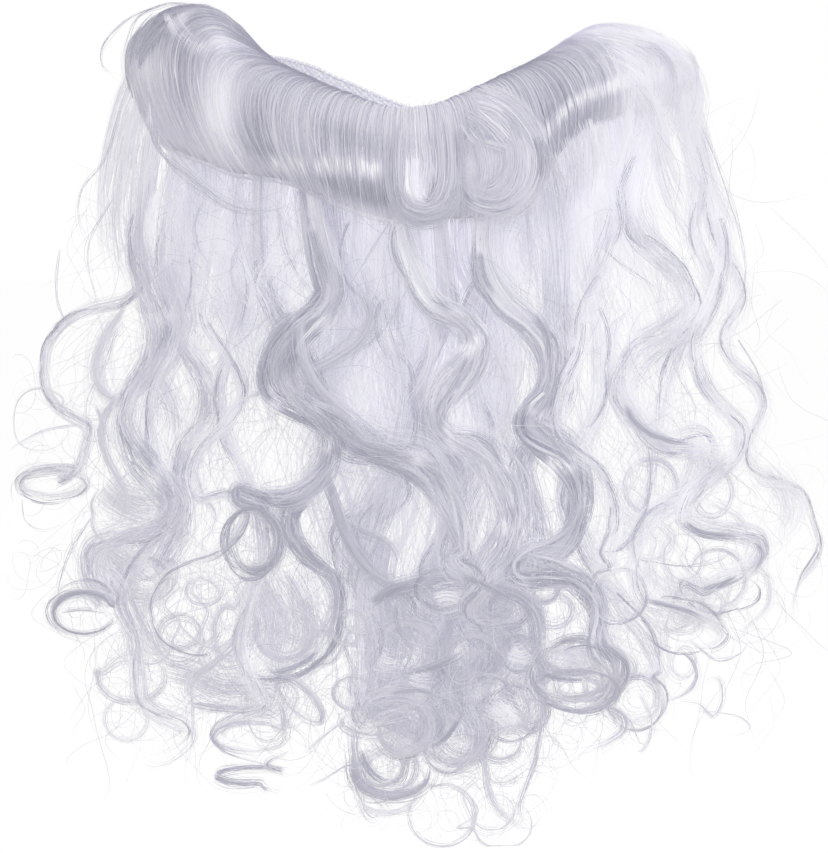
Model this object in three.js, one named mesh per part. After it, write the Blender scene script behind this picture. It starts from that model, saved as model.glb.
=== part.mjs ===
// A white, curly false beard on a knitted band, in millimetres, +Z up.
// The band is a thin curved wall that fits round the chin and jaw: the wearer's
// chin comes in from +Y and the hair faces -Y. The origin is the inner face of
// the band, at its middle and at the level of the roll's crest.
import * as THREE from "three";
import { mergeVertices } from "three/addons/utils/BufferGeometryUtils.js";

// ---------------------------------------------------------------- main sizes
const JAW_HALF = 104; // half axis of the band's curve, side to side
const JAW_DEEP = 100; // half axis of the band's curve, front to back
const BAND_HALF = 98; // where the band ends, measured straight across
const NET = 1.6; // thickness of the knitted band
const ROLL_WALL = 4.6; // thickness of the combed hair in the roll
const FLARE = 36; // how much wider the beard's curve is at the bottom
const FLARE_TOP = -20; // the flare starts here
const FLARE_TALL = 160; // and is complete this much lower
const GAP = 0.5; // space kept between neighbouring pieces

// The front roll and the band behind it, one row for each station across.
// x: where on the band; crest: top of the roll; tip: its lower edge;
// reach: how far it bulges from the band; net: top and foot of the band there.
const STATIONS = [
  // x, crest, tip, reach, netTop, netFoot
  [-98, 36, 3, 25.5, 30, 4],
  [-93, 41.5, -7, 28, 34, -12],
  [-86, 44.5, -15, 30, 36, -22],
  [-77, 43.5, -20, 32, 34, -31],
  [-68, 37, -24, 33, 28, -39],
  [-60, 27, -28, 34, 22.5, -45],
  [-52, 20, -29.5, 35, 20.8, -50],
  [-40, 13.5, -32, 36, 17, -56],
  [-24, 5.5, -41, 37.5, 9.6, -61],
  [-8, -0.5, -47.5, 38, 2.5, -63],
  [8, 0.5, -48, 38, -2, -63],
  [24, 8, -46.5, 37.5, 3, -61],
  [38, 15.5, -41, 36, 10, -56],
  [50, 22, -17, 33.5, 17, -49],
  [60, 29, -8.5, 31, 24, -42],
  [69, 34.5, -4.5, 29, 29, -35],
  [80, 36, -2, 27.5, 30, -26],
  [90, 34.5, 1, 26.5, 29, -15],
  [98, 29.5, 6, 25, 24, 4],
];
const [CREST, TIP, REACH, NET_TOP, NET_FOOT] = [1, 2, 3, 4, 5];

// The roll is combed in bunches, split where its hair parts.
// from, to: position across the band; steps: divisions; shade.
const ROLL = [
  ["end_tuft_left", -102.2, -90, 6, 0xc9c8d4],
  ["hair_roll_left", -89.4, -34, 13, 0xcdccd8],
  ["hair_roll_centre", -33.4, 26, 13, 0xc6c5d2],
  ["hair_roll_right", 26.6, 76, 12, 0xcdccd8],
  ["end_tuft_right", 76.6, 102.2, 8, 0xdcdce4],
];

// Curls in which the roll ends: a part of a turn, seen from the front.
// x, z: middle of the curl; rx, rz: radii; from, turn: degrees, counted from +X
// towards +Z; out: distance from the band at its start and end; w, t: half
// width and half thickness.
const CURLS = [
  ["curl_centre", 12, -31, 19, 19, 176, 150, 43.5, 38, 4.2, 2.4],
  ["curl_right", 39, -25, 13, 14.5, 70, -300, 42.5, 45.5, 4.6, 2.6],
];

// The under-layer: three hanks that hang flat against the band.
// from, to: across the beard at the top; footFrom, footTo: at the bottom.
const UNDER = [
  ["under_layer_left", -96, -34, -134, -46, -222],
  ["under_layer_centre", -33, 33, -44.5, 46.5, -262],
  ["under_layer_right", 34, 96, 48, 134, -226],
];

// The locks, one row each. out: distance from the band at root and at tip;
// w, t: half width and half thickness; x and z: the root, each bend of the
// wave and the start of the ringlet; ringlet: radius, depth as a share of it,
// drop per turn and turns.
const LOCKS = [
  // name, out root, out tip, w, t, x at each bend, z at each bend, ringlet
  ["far_left", 12.1, 13.2, 3, 2.2, [-120, -124, -164, -139, -158], [-2, -49, -110, -142, -164], [10, 0.5, 7, 1.2]],
  ["left_outer", 15.2, 46, 5.5, 3.4, [-107, -114, -107, -122, -99, -134, -129], [-12, -50, -94, -134, -168, -191, -206], [11, 0.45, 8, 1.2]],
  ["left_inner", 13, 14.6, 6.5, 3.6, [-96, -103, -84, -98, -91], [-22, -65, -119, -152, -185], [11, 0.5, 9, 1.2]],
  ["left_thin", 20.1, 46, 3.6, 2.8, [-82, -88, -72, -90, -90, -113], [-29, -85, -119, -155, -189, -220], [10, 0.5, 8, 1.4]],
  ["left_dark", 22.2, 46, 7.5, 4.2, [-56, -36, -56, 18, 8], [-36, -70, -107, -178, -211], [9, 0.6, 9, 1.5]],
  ["left_ring", 16.2, 24, 5.5, 3.4, [-46, -53, -31, -68], [-37, -89, -140, -160], [9, 0.6, 9, 1.3]],
  ["left_loop", 12.7, 14.2, 5, 3.2, [-65, -63, -48, -54, -29, -60], [-35, -93, -139, -172, -209, -243], [11, 0.5, 8, 1.5]],
  ["centre_left", 12.8, 17.4, 7, 3.4, [-26, -18, -38, -7, -27, -4, -17], [-50, -89, -122, -159, -180, -205, -242], [10, 0.5, 9, 1.5]],
  ["centre_s", 25.1, 40.6, 7.5, 4.2, [-7, -3, 26, 10, 38, 27, 45], [-50, -60, -98, -128, -167, -196, -224], [10, 0.5, 9, 1.5]],
  ["centre_back", 12.8, 14.4, 6.5, 3.4, [11, 14, 3, 18, 8, 15, 5], [-51, -85, -119, -153, -189, -243, -276], [11, 0.5, 9, 1.4]],
  ["right_centre", 24.3, 45.3, 7.5, 4.2, [29, 30, 57, 40, 75, 55, 78, 64], [-50, -68, -106, -133, -164, -188, -217, -238], [10, 0.5, 9, 1.5]],
  ["right_back", 12.8, 34.2, 6.5, 3.4, [51, 61, 62, 46, 51, 36, 55, 39], [-36, -76, -120, -155, -184, -213, -242, -275], [11, 0.5, 9, 1.4]],
  ["right_pale", 17.6, 46, 4.4, 2.6, [78, 86, 70, 60, 84, 82], [-12, -49, -91, -126, -156, -183], [10, 0.5, 8, 1.3]],
  ["right", 13.8, 35.7, 6.5, 4, [96, 93, 119, 88, 122, 97, 104], [-12, -41, -82, -119, -148, -176, -202], [11, 0.5, 8, 1.4]],
  ["right_thin", 15.4, 13.4, 3.6, 2.4, [109, 132, 106, 100, 90, 101], [-12, -78, -117, -161, -190, -224], [11, 0.5, 8, 1.4]],
  ["right_outer", 15.4, 46, 3.6, 2.4, [114, 130, 119, 143, 125, 150], [-6, -62, -102, -135, -165, -188], [10, 0.5, 8, 1.3]],
  ["far_right", 12.4, 14.6, 3.2, 2.6, [118, 145, 136, 155, 147, 176, 166], [-2, -76, -99, -126, -151, -181, -211], [8, 0.5, 8, 1.1]],
  ["bottom_left", 14.9, 46, 5.5, 3.4, [-75, -72, -80, -60, -72, -46, -64], [-31, -81, -131, -180, -222, -246, -268], [11, 0.5, 8, 1.4]],
  ["bottom_far_left", 17.7, 33.8, 4, 2.8, [-93, -95, -111, -110, -123, -104], [-22, -77, -124, -173, -208, -244], [10, 0.5, 8, 1.4]],
  ["bottom_centre", 18.8, 35, 7, 3.8, [-11, -10, -4, -18, -19, -26], [-51, -93, -134, -179, -224, -257], [12, 0.5, 9, 1.5]],
  ["bottom_mid", 17.8, 24.3, 7, 3.8, [36, 24, 29, 17, 29, 19], [-49, -89, -138, -188, -228, -268], [12, 0.5, 9, 1.4]],
  ["bottom_right", 17.5, 22.3, 4.6, 3, [70, 73, 79, 65, 88, 102, 83], [-14, -72, -120, -164, -206, -241, -263], [9, 0.5, 8, 1.4]],
];
const WAVE_STEP = 11; // a ring of points about every so many millimetres of wave
const CURL_RINGS = 9; // rings of points to each turn of a ringlet
const LOCK_SIDES = 5;

// ------------------------------------------------------------------ functions
const lerp = (a, b, t) => a + (b - a) * t;
const ease = (t) => {
  const c = Math.min(1, Math.max(0, t));
  return c * c * (3 - 2 * c);
};

// A column of the stations, smooth between rows.
function station(x, column) {
  const last = STATIONS.length - 1;
  let i = STATIONS.findIndex((row) => row[0] > x) - 1;
  if (i < 0) i = x <= STATIONS[0][0] ? 0 : last - 1;
  const row = (k) => STATIONS[Math.min(last, Math.max(0, k))];
  const [a, b] = [row(i), row(i + 1)];
  const t = Math.min(1, Math.max(0, (x - a[0]) / (b[0] - a[0])));
  const slope = (p, q) => (q[column] - p[column]) / Math.max(1e-6, q[0] - p[0]);
  const span = b[0] - a[0];
  const ma = slope(row(i - 1), b) * span;
  const mb = slope(a, row(i + 2)) * span;
  const [t2, t3] = [t * t, t * t * t];
  return (
    (2 * t3 - 3 * t2 + 1) * a[column] +
    (t3 - 2 * t2 + t) * ma +
    (3 * t2 - 2 * t3) * b[column] +
    (t3 - t2) * mb
  );
}

// A point at distance out from the band, abreast of x on its inner face.
function fromBand(x, out, z) {
  const limit = JAW_HALF * 0.995;
  const s = Math.min(limit, Math.max(-limit, x)) / JAW_HALF;
  const c = Math.sqrt(1 - s * s);
  return new THREE.Vector3(
    (JAW_HALF + out) * s,
    JAW_DEEP - (JAW_DEEP + out) * c,
    z,
  );
}

// A point seen at x and z from the front, on the beard's curve, out from it.
function drape(x, out, z) {
  const across = JAW_HALF + FLARE * ease((FLARE_TOP - z) / FLARE_TALL) + out;
  const deep = JAW_DEEP + out;
  const q = Math.abs(x) / across;
  if (q <= 0.9)
    return new THREE.Vector3(x, JAW_DEEP - deep * Math.sqrt(1 - q * q), z);
  const c = Math.sqrt(1 - 0.81);
  const slope = Math.min(1.5, ((deep / across) * 0.9) / c);
  return new THREE.Vector3(
    x,
    JAW_DEEP - deep * c + slope * (Math.abs(x) - 0.9 * across),
    z,
  );
}

// Moves each vertex of a closed primitive to its place, faces kept outward.
function reshape(primitive, place) {
  primitive.deleteAttribute("normal");
  primitive.deleteAttribute("uv");
  const g = mergeVertices(primitive, 1e-5);
  const p = g.attributes.position;
  const v = new THREE.Vector3();
  for (let i = 0; i < p.count; i++) {
    v.fromBufferAttribute(p, i);
    const q = place(v.x, v.y, v.z);
    p.setXYZ(i, q.x, q.y, q.z);
  }
  const index = g.index.array;
  const [a, b, c] = [new THREE.Vector3(), new THREE.Vector3(), new THREE.Vector3()];
  let volume = 0;
  for (let i = 0; i < index.length; i += 3) {
    a.fromBufferAttribute(p, index[i]);
    b.fromBufferAttribute(p, index[i + 1]);
    c.fromBufferAttribute(p, index[i + 2]);
    volume += a.dot(b.cross(c));
  }
  if (volume < 0)
    for (let i = 0; i < index.length; i += 3)
      [index[i + 1], index[i + 2]] = [index[i + 2], index[i + 1]];
  g.computeVertexNormals();
  return g;
}

function hair(color, roughness = 0.35) {
  return new THREE.MeshStandardMaterial({ color, roughness, metalness: 0 });
}

function mesh(name, geometry, material) {
  const m = new THREE.Mesh(geometry, material);
  m.name = name;
  return m;
}

// The knitted band: a thin wall with rounded ends.
function band() {
  const box = new THREE.BoxGeometry(2, 1, 1, 36, 4, 1);
  return reshape(box, (u, v, w) => {
    const x = u * BAND_HALF;
    const round = Math.sqrt(Math.max(0, 1 - Math.max(0, Math.abs(u) - 0.94) ** 2 / 0.0036)) * 0.35 + 0.65;
    const top = station(x, NET_TOP);
    const foot = station(x, NET_FOOT);
    const middle = (top + foot) / 2;
    return fromBand(x, (w + 0.5) * NET, middle + (top - foot) * round * v);
  });
}

// One bunch of the roll: a wall bent forward and down from the band's top.
function roll(from, to, steps) {
  const box = new THREE.BoxGeometry(1, 1, 1, steps, 9, 1);
  return reshape(box, (u, v, w) => {
    const x = lerp(from, to, u + 0.5);
    const beyond = Math.max(0, Math.abs(x) - BAND_HALF) / 4.6;
    const shrink = Math.sqrt(Math.max(0.1, 1 - beyond * beyond));
    const crest = station(x, CREST);
    const tip = station(x, TIP);
    const reach = station(x, REACH) * lerp(0.7, 1, shrink);
    const tall = ((crest - tip) / 1.707) * shrink;
    const middle = lerp((crest + tip) / 2, crest - tall, shrink);
    const angle = THREE.MathUtils.degToRad(lerp(50, 225, v + 0.5));
    const inside = (0.5 - w) * ROLL_WALL;
    const across = Math.max(2, reach * 0.58 - inside);
    const high = Math.max(2, tall - inside);
    return fromBand(
      x,
      Math.max(NET + GAP + (w + 0.5) * 0.8, reach * 0.42 - across * Math.cos(angle)),
      middle + high * Math.sin(angle),
    );
  });
}

// A round hank along a path of points in x, out and z, bent with the beard.
// size(t) gives its half width and half thickness; stops are the places of its
// rings along the path, from 0 to 1.
function hank(path, size, stops, sides) {
  const at = (t) => path(Math.min(1, Math.max(0, t)));
  const frames = [];
  let normal = new THREE.Vector3(0, 1, 0);
  for (const t of stops) {
    const along = at(t + 1e-3).sub(at(t - 1e-3)).normalize();
    normal = normal.clone().addScaledVector(along, -normal.dot(along)).normalize();
    frames.push({ t, here: at(t), normal, side: along.clone().cross(normal) });
  }
  const last = stops.length - 1;
  const tube = new THREE.CylinderGeometry(1, 1, 1, sides, last);
  return reshape(tube, (a, v, b) => {
    const { t, here, normal, side } = frames[Math.round((v + 0.5) * last)];
    const [w, d] = size(t);
    const q = here.clone().addScaledVector(side, a * w).addScaledVector(normal, b * d);
    return drape(q.x, q.y, q.z);
  });
}

// A lock: from bend to bend in an even wave, then round its ringlet.
function lock([, outRoot, outTip, w, t, xs, zs, [radius, depth, drop, turns]]) {
  const last = xs.length - 1;
  const out = (z) => lerp(outRoot, outTip, ease((zs[0] - z) / Math.max(90, zs[0] - zs[last])));
  const lengths = xs.slice(1).map((x, i) => Math.hypot(x - xs[i], zs[i + 1] - zs[i]));
  const curl = 2 * Math.PI * radius * 0.8 * turns;
  const waves = lengths.reduce((sum, n) => sum + n, 0);
  const total = waves + curl;
  const way = Math.sign(xs[last] - xs[last - 1]) || 1;
  const path = (s) => {
    let run = s * total;
    for (let i = 0; i < last; i++) {
      if (run <= lengths[i]) {
        const k = run / lengths[i];
        const x = lerp(xs[i], xs[i + 1], (1 - Math.cos(Math.PI * k)) / 2);
        const z = lerp(zs[i], zs[i + 1], k);
        return new THREE.Vector3(x, out(z), z);
      }
      run -= lengths[i];
    }
    const k = run / curl;
    const angle = 2 * Math.PI * turns * k;
    return new THREE.Vector3(
      xs[last] - way * radius * (1 - Math.cos(angle)) * ease(k * 3),
      outTip + radius * depth * Math.sin(angle) * ease(k * 3),
      zs[last] - drop * turns * k,
    );
  };
  const size = (s) => {
    const slim = s * total < waves ? 1 : lerp(1, 0.45, (s * total - waves) / curl);
    const root = lerp(0.6, 1, ease(s * 5));
    const round = Math.min(w, t) * 0.8;
    const soft = ease((s * total - waves + 12) / 12);
    return [lerp(w * root, round, soft) * slim, lerp(t * root, round, soft) * slim];
  };
  const stops = [0];
  let done = 0;
  for (const length of [...lengths, curl]) {
    const rings = length === curl ? Math.ceil(CURL_RINGS * turns) : Math.max(2, Math.round(length / WAVE_STEP));
    for (let i = 1; i <= rings; i++) stops.push((done + (length * i) / rings) / total);
    done += length;
  }
  return hank(path, size, stops, LOCK_SIDES);
}

// A curl of the roll: part of a turn, facing the front.
function curl([, x, z, rx, rz, from, turn, outFrom, outTo, w, t]) {
  const path = (s) => {
    const a = THREE.MathUtils.degToRad(from + turn * s);
    return new THREE.Vector3(x + rx * Math.cos(a), lerp(outFrom, outTo, s), z + rz * Math.sin(a));
  };
  const stops = Array.from({ length: 21 }, (_, i) => i / 20);
  return hank(path, (s) => [w * lerp(1, 0.6, s * s), t * lerp(1, 0.7, s)], stops, 6);
}

// The under-layer: a soft wall with upright folds and a ragged foot.
function under([, from, to, footFrom, footTo, foot]) {
  const box = new THREE.BoxGeometry(1, 1, 1, 9, 9, 1);
  return reshape(box, (u, v, w) => {
    const down = 0.5 - v;
    const spread = ease(down * 1.1);
    const x = lerp(lerp(from, to, u + 0.5), lerp(footFrom, footTo, u + 0.5), spread);
    const top = station(lerp(from, to, u + 0.5), TIP) + 14;
    const ragged = 9 * Math.sin(u * 17 + foot) * down * down;
    const z = lerp(top, foot + ragged, down);
    const wave = 1.1 * Math.sin(u * 19 + down * 7) * ease(down * 3);
    const thick = lerp(4.2, 2.6, down);
    return drape(x, NET + GAP + 1.4 + thick / 2 + wave + (w * thick), z);
  });
}

// ------------------------------------------------------------------- assembly
const beard = new THREE.Group();
const wovenBand = new THREE.MeshStandardMaterial({ color: 0xd3d3d8, roughness: 0.9 });
beard.add(mesh("base_net", band(), wovenBand));

const frontRoll = new THREE.Group();
for (const [name, from, to, steps, color] of ROLL)
  frontRoll.add(mesh(name, roll(from, to, steps), hair(color, 0.28)));
for (const row of CURLS) frontRoll.add(mesh(row[0], curl(row), hair(0xcfcedb, 0.28)));
beard.add(frontRoll);

const underLayer = new THREE.Group();
for (const row of UNDER) underLayer.add(mesh(row[0], under(row), hair(0xe4e4ea, 0.6)));
beard.add(underLayer);

const locks = new THREE.Group();
for (const row of LOCKS) locks.add(mesh("lock_" + row[0], lock(row), hair(0xcac9d6, 0.3)));
beard.add(locks);

export default beard;
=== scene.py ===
"""Looks of the white curly false beard: combed roll, wavy locks, ringlets and fuzz, each as modelled strands."""

import math

import bmesh
import bpy
import numpy as np
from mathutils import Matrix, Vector


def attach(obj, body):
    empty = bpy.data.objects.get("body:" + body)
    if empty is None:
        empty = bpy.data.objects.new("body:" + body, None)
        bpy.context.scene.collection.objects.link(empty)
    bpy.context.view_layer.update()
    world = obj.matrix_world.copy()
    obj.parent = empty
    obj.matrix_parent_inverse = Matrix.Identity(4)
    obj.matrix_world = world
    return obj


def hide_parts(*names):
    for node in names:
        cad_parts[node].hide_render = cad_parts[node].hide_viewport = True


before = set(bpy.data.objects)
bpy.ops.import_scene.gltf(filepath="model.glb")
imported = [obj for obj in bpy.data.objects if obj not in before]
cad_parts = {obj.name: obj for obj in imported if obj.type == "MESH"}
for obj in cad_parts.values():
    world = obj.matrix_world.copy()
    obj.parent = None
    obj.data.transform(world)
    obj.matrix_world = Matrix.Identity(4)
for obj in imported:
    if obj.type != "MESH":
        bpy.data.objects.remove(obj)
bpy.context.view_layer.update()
rng = np.random.default_rng(7)

# ------------------------------------------------------------------ camera
# Reference plane through the front of the band: 0.42 mm to a unit, 828 x 853 units.
PIXEL = 0.42
CAM_FAR = 1500.0
CAM_UP = 3.0
AIM = (0.84, 0.0, -133.8)
RISE, SLOPE = math.sin(math.radians(CAM_UP)), math.cos(math.radians(CAM_UP))
cam_data = bpy.data.cameras.new("camera")
cam = bpy.data.objects.new("camera", cam_data)
bpy.context.scene.collection.objects.link(cam)
bpy.context.scene.camera = cam
cam_data.sensor_width = 36.0
cam_data.lens = 36.0 * CAM_FAR / (853 * PIXEL)
EYE = (AIM[0], AIM[1] - CAM_FAR * SLOPE, AIM[2] + CAM_FAR * RISE)
cam.location = [v / 1000 for v in EYE]
cam.rotation_euler = (math.radians(90 - CAM_UP), 0, 0)
cam_data.clip_start, cam_data.clip_end = 0.05, 50

# ------------------------------------------------------------------ sizes, mm
JAW_HALF, JAW_DEEP, BAND_HALF = 104.0, 100.0, 98.0
FLARE, FLARE_TOP, FLARE_TALL = 36.0, -20.0, 160.0
NET = 1.6

# x on the band, crest, tip, reach, net top, net foot, lean and bow of the comb, tone with painted light and shade
STATIONS = np.array(
    [
        [-98, 39.5, 3, 26.5, 30, 4, -2, -10, 0.28],
        [-93, 43.5, -7, 28.5, 34, -12, -6, -16, 0.20],
        [-86, 44.5, -15, 30, 36, -22, -12, -24, 0.16],
        [-77, 43.5, -20, 32, 34, -31, -18, -28, 0.28],
        [-68, 37, -24, 33, 28, -39, -20, -28, 0.46],
        [-60, 27, -28, 34, 22.5, -45, -19, -26, 0.56],
        [-52, 20, -29.5, 35, 20.8, -50, -16, -22, 0.50],
        [-40, 13.5, -32, 36, 17, -56, -11, -17, 0.44],
        [-32, 9.2, -36.3, 36.9, 13, -58.8, -7, -13, 0.37],
        [-24, 5.5, -41, 37.5, 9.6, -61, -4, -8, 0.38],
        [-8, -0.5, -47.5, 38, 2.5, -63, 0, -2, 0.46],
        [8, 0.5, -48, 38, -2, -63, 3, 1, 0.48],
        [24, 8, -46.5, 37.5, 3, -61, 9, 2, 0.36],
        [38, 15.5, -41, 36, 10, -56, 14, 4, 0.36],
        [50, 22, -17, 33.5, 17, -49, 15, 3, 0.56],
        [60, 29, -8.5, 31, 24, -42, 13, 1, 0.76],
        [69, 34.5, -4.5, 29, 29, -35, 14, 6, 0.82],
        [80, 36, -2, 27.5, 30, -26, 14, 14, 0.86],
        [90, 34.5, 1, 26.5, 29, -15, 8, 12, 0.90],
        [98, 29.5, 6, 25, 24, 4, 2, 6, 0.98],
    ],
    float,
)
CREST, TIP, REACH, NET_TOP, NET_FOOT, LEAN, BOW, TONE_AND_SHADE = range(1, 9)

ROLL = {
    "end_tuft_left": (-101.0, -89.7),
    "hair_roll_left": (-89.7, -33.7),
    "hair_roll_centre": (-33.7, 26.3),
    "hair_roll_right": (26.3, 76.3),
    "end_tuft_right": (76.3, 101.0),
}

# Where painted highlight lines cross the combed surface, with painted shade beside them: x on the band, angle round the
# section, share of the hair that shows them.
PAINTED_HIGHLIGHT_LINES = np.array(
    [[-100, 170, 0.1], [-70, 165, 0.1], [-58, 196, 0.15], [-50, 208, 0.25], [-44, 208, 0.35], [-35, 200, 0.4],
     [-26, 190, 0.66], [-16, 181, 0.72], [-3, 176, 0.66], [15, 182, 0.7], [30, 178, 0.5], [42, 174, 0.9],
     [53, 178, 0.9], [65, 184, 0.8], [74, 180, 0.3], [100, 180, 0.1]],
    float,
)
# Painted highlight along the ridge at the roll's left end: x on the band, angle round the section, share of the hair
# that shows it.
PAINTED_RIDGE_HIGHLIGHT = np.array([[-100, 118, 0.2], [-84, 118, 0.5], [-79, 124, 0.9], [-74, 142, 0.9], [-68, 140, 0.8], [-60, 104, 0.6],
                  [-52, 95, 0.0], [100, 95, 0.0]], float)
# Painted light and shade on the combed surface, where its bunches turn: x on the band, angle, half width, half angle,
# change of tone.
PAINTED_LIGHT_AND_SHADE = [
    (-89, 132, 9, 22, -0.60),
    (-80, 122, 3.0, 16, 0.55),
    (-90, 165, 6, 14, 0.20),
    (-72, 168, 8, 26, -0.18),
    (-61, 172, 8.0, 36, 0.50),
    (-66, 120, 6, 12, 0.30),
    (-49, 178, 5.5, 32, -0.34),
    (-46, 202, 4, 10, -0.2),
    (-36, 172, 6, 26, 0.10),
    (-40, 206, 7, 9, 0.16),
    (-20, 157, 11, 11, -0.26),
    (-14, 203, 13, 12, -0.46),
    (-14, 226, 11, 11, 0.40),
    (-2, 146, 6, 22, 0.14),
    (26, 150, 7, 24, 0.10),
    (34, 196, 5, 18, -0.30),
    (44, 160, 7, 10, -0.12),
    (54, 205, 10, 12, -0.2),
    (62, 140, 9, 16, -0.14),
    (94, 150, 8, 40, -0.12),
]

# Paths are given as seen from the front, in units of the reference plane: x to
# the right, y down. A ring is centre, radii, start, turn, end scale, tilt.
# Each lock: half width and half thickness in mm, distance from the band at its
# root and tip, strands, tone from 0, dark, to 1, pale, path.
LOCKS = {
    "far_left": (2.2, 1.6, 14, 22, 44, 0.72, [
        "128,112 133,170 141,235 143,278 126,299 92,309 66,322 48,343 43,365 46,388 58,406 76,419 87,427 83,448 76,468 60,481",
        (52, 484, 36, 15, 60, 620, 0.8)]),
    "left_outer": (5.2, 3.2, 16, 42, 136, 0.61, [
        "150,118 141,180 139,240 150,290 158,328 149,362 132,394 127,424 138,455 158,482 173,503 168,518 147,531 112,541 96,552 98,576 112,596",
        (84, 612, 30, 21, 30, 300, 0.95)]),
    "left_inner": (3.7, 2.8, 14, 20, 100, 0.7, [
        "182,145 168,200 163,262 172,312 186,345 199,366 208,391 202,420 186,446 180,472 184,505 178,535 162,566",
        (142, 578, 30, 24, 30, -420, 0.7)]),
    "left_thin": (2.3, 1.8, 20, 44, 50, 0.81, [
        "215,165 211,230 204,292 206,322 222,350 236,374 241,394 232,418 206,447 192,475 200,498",
        "225,494 245,510 240,530 215,556 190,566 166,580 153,605 158,630 172,645 205,652 222,640"]),
    "left_dark": (8.4, 4.2, 22, 46, 180, 0.3, [
        "306,172 313,215 320,250 327,276 330,292 318,308 294,326 279,350 278,385 297,402 325,423 352,445 385,452 412,458 430,474 443,500 455,530 462,556",
        (446, 585, 26, 22, 70, -380, 0.7)]),
    "left_ring": (4.4, 3.0, 24, 50, 120, 0.36, [
        "312,180 318,225 328,262 334,290 322,318 300,340 288,365 296,396 318,420 332,440 330,460 312,486 290,499 262,499 240,492 240,500 262,508",
        (253, 542, 25, 31, 60, -400, 1.0)]),
    "left_loop": (4.0, 2.8, 14, 30, 120, 0.4, [
        "258,172 256,230 264,290 284,330 306,362 322,400 328,430 326,462 306,490 290,512 290,532 305,556 330,575 341,598 339,625 326,650 300,669 268,676 245,670 238,655"]),
    "centre_left": (7.4, 3.8, 14, 24, 116, 0.72, [
        "352,205 353,260 366,300 370,322 350,350 323,380 320,402 340,425 370,445 388,466 396,490 382,512 352,527 343,545 356,570 385,590 402,605 399,640 382,668",
        (398, 690, 30, 24, 120, 400, 0.7)]),
    "centre_s": (7.4, 4.2, 26, 46, 160, 0.55, [
        "396,205 402,240 414,272 434,302 462,322 474,342 466,366 447,390 437,408 437,425 450,438 472,446 488,458 500,482 505,512 500,545 488,570",
        (500, 606, 26, 20, 130, 430, 0.7)]),
    "centre_back": (6.0, 3.8, 13, 18, 84, 0.86, [
        "438,205 444,260 446,308 432,350 420,390 430,430 452,470 455,500 440,540 430,570 436,620 446,670",
        (424, 700, 32, 30, 40, -460, 0.6)]),
    "right_centre": (7.6, 4.2, 26, 48, 150, 0.34, [
        "484,205 482,250 488,277 504,302 527,322 544,346 548,374 542,396 530,414 529,428 543,440 562,454 575,477 579,506 572,530 556,548 532,560 522,568 548,573 576,582 594,602 599,626",
        (574, 673, 42, 31, 50, -420, 0.8)]),
    "right_back": (6.6, 3.8, 13, 30, 124, 0.66, [
        "544,160 553,220 558,290 561,340 556,394 534,440 523,475 530,520 531,550 514,580 500,612 512,645 532,672",
        (510, 708, 30, 24, 50, -420, 0.7)]),
    "right_pale": (3.0, 2.2, 18, 46, 64, 0.94, [
        "600,132 613,185 616,225 603,268 585,308 574,355 560,392 559,425 575,450 598,470 612,500 614,530 606,552",
        (618, 594, 26, 27, 100, 300, 1.0)]),
    "right": (6.2, 3.6, 14, 38, 140, 0.8, [
        "643,110 637,165 631,200 638,231 656,254 679,278 689,305 668,334 643,350 627,374 624,396 633,416 652,436 674,444 698,443 703,462 688,490 658,512 642,537 641,570 650,594 672,604 702,614 721,632 711,645 684,647 660,639 644,622"]),
    "right_thin": (3.4, 2.4, 15, 14, 80, 0.88, [
        "682,110 700,180 695,235 704,265 716,292 702,320 682,341 668,370 664,400 655,445 646,490 632,530 614,548 596,548"]),
    "right_outer": (3.4, 2.4, 15, 44, 74, 0.9, [
        "688,110 710,180 722,250 712,300 696,345 705,385 722,410 738,430 735,455 712,478 690,500 684,520 702,531 730,534 758,540 761,556 744,573 720,582 704,589",
        (724, 588, 40, 22, 165, 260, 0.8)]),
    "far_right": (2.6, 2.0, 12, 18, 60, 0.86, [
        "694,112 702,180 716,235 738,278 741,300 724,338 735,364 755,385 762,405 751,440 752,464 776,480 800,493 813,520 818,548 802,578 792,616"]),
    "bottom_left": (2.6, 2.2, 15, 44, 66, 0.76, [
        "236,172 238,230 241,300 228,355 220,400 226,440 246,478 262,520 264,560 250,600 238,640 246,672 262,704 240,714 222,722 214,734 224,747 250,756 276,763 290,768"]),
    "bottom_far_left": (2.6, 2.0, 18, 36, 64, 0.74, [
        "192,150 186,220 186,290 168,345 152,400 152,450 165,490 160,530 135,566 122,600 134,640 136,672 142,700 162,714 183,724 187,733 176,746 158,756 146,756 142,749"]),
    "bottom_centre": (7.0, 4.0, 19, 38, 110, 0.6, [
        "384,205 386,270 388,330 400,380 402,428 386,480 368,530 362,580 370,640 364,680 360,706",
        (400, 724, 33, 27, 165, -340, 0.75)]),
    "bottom_mid": (6.4, 4.0, 18, 30, 96, 0.8, [
        "500,200 489,260 472,318 474,380 481,436 467,500 453,555 462,610 478,650 474,690",
        (452, 732, 30, 34, 40, -480, 0.6)]),
    "bottom_right": (3.4, 2.4, 18, 26, 74, 0.9, [
        "582,130 586,210 591,280 603,340 600,395 581,445 568,498 585,550 618,598 648,636 656,672",
        (634, 700, 28, 26, 60, -440, 0.8)]),
}
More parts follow.
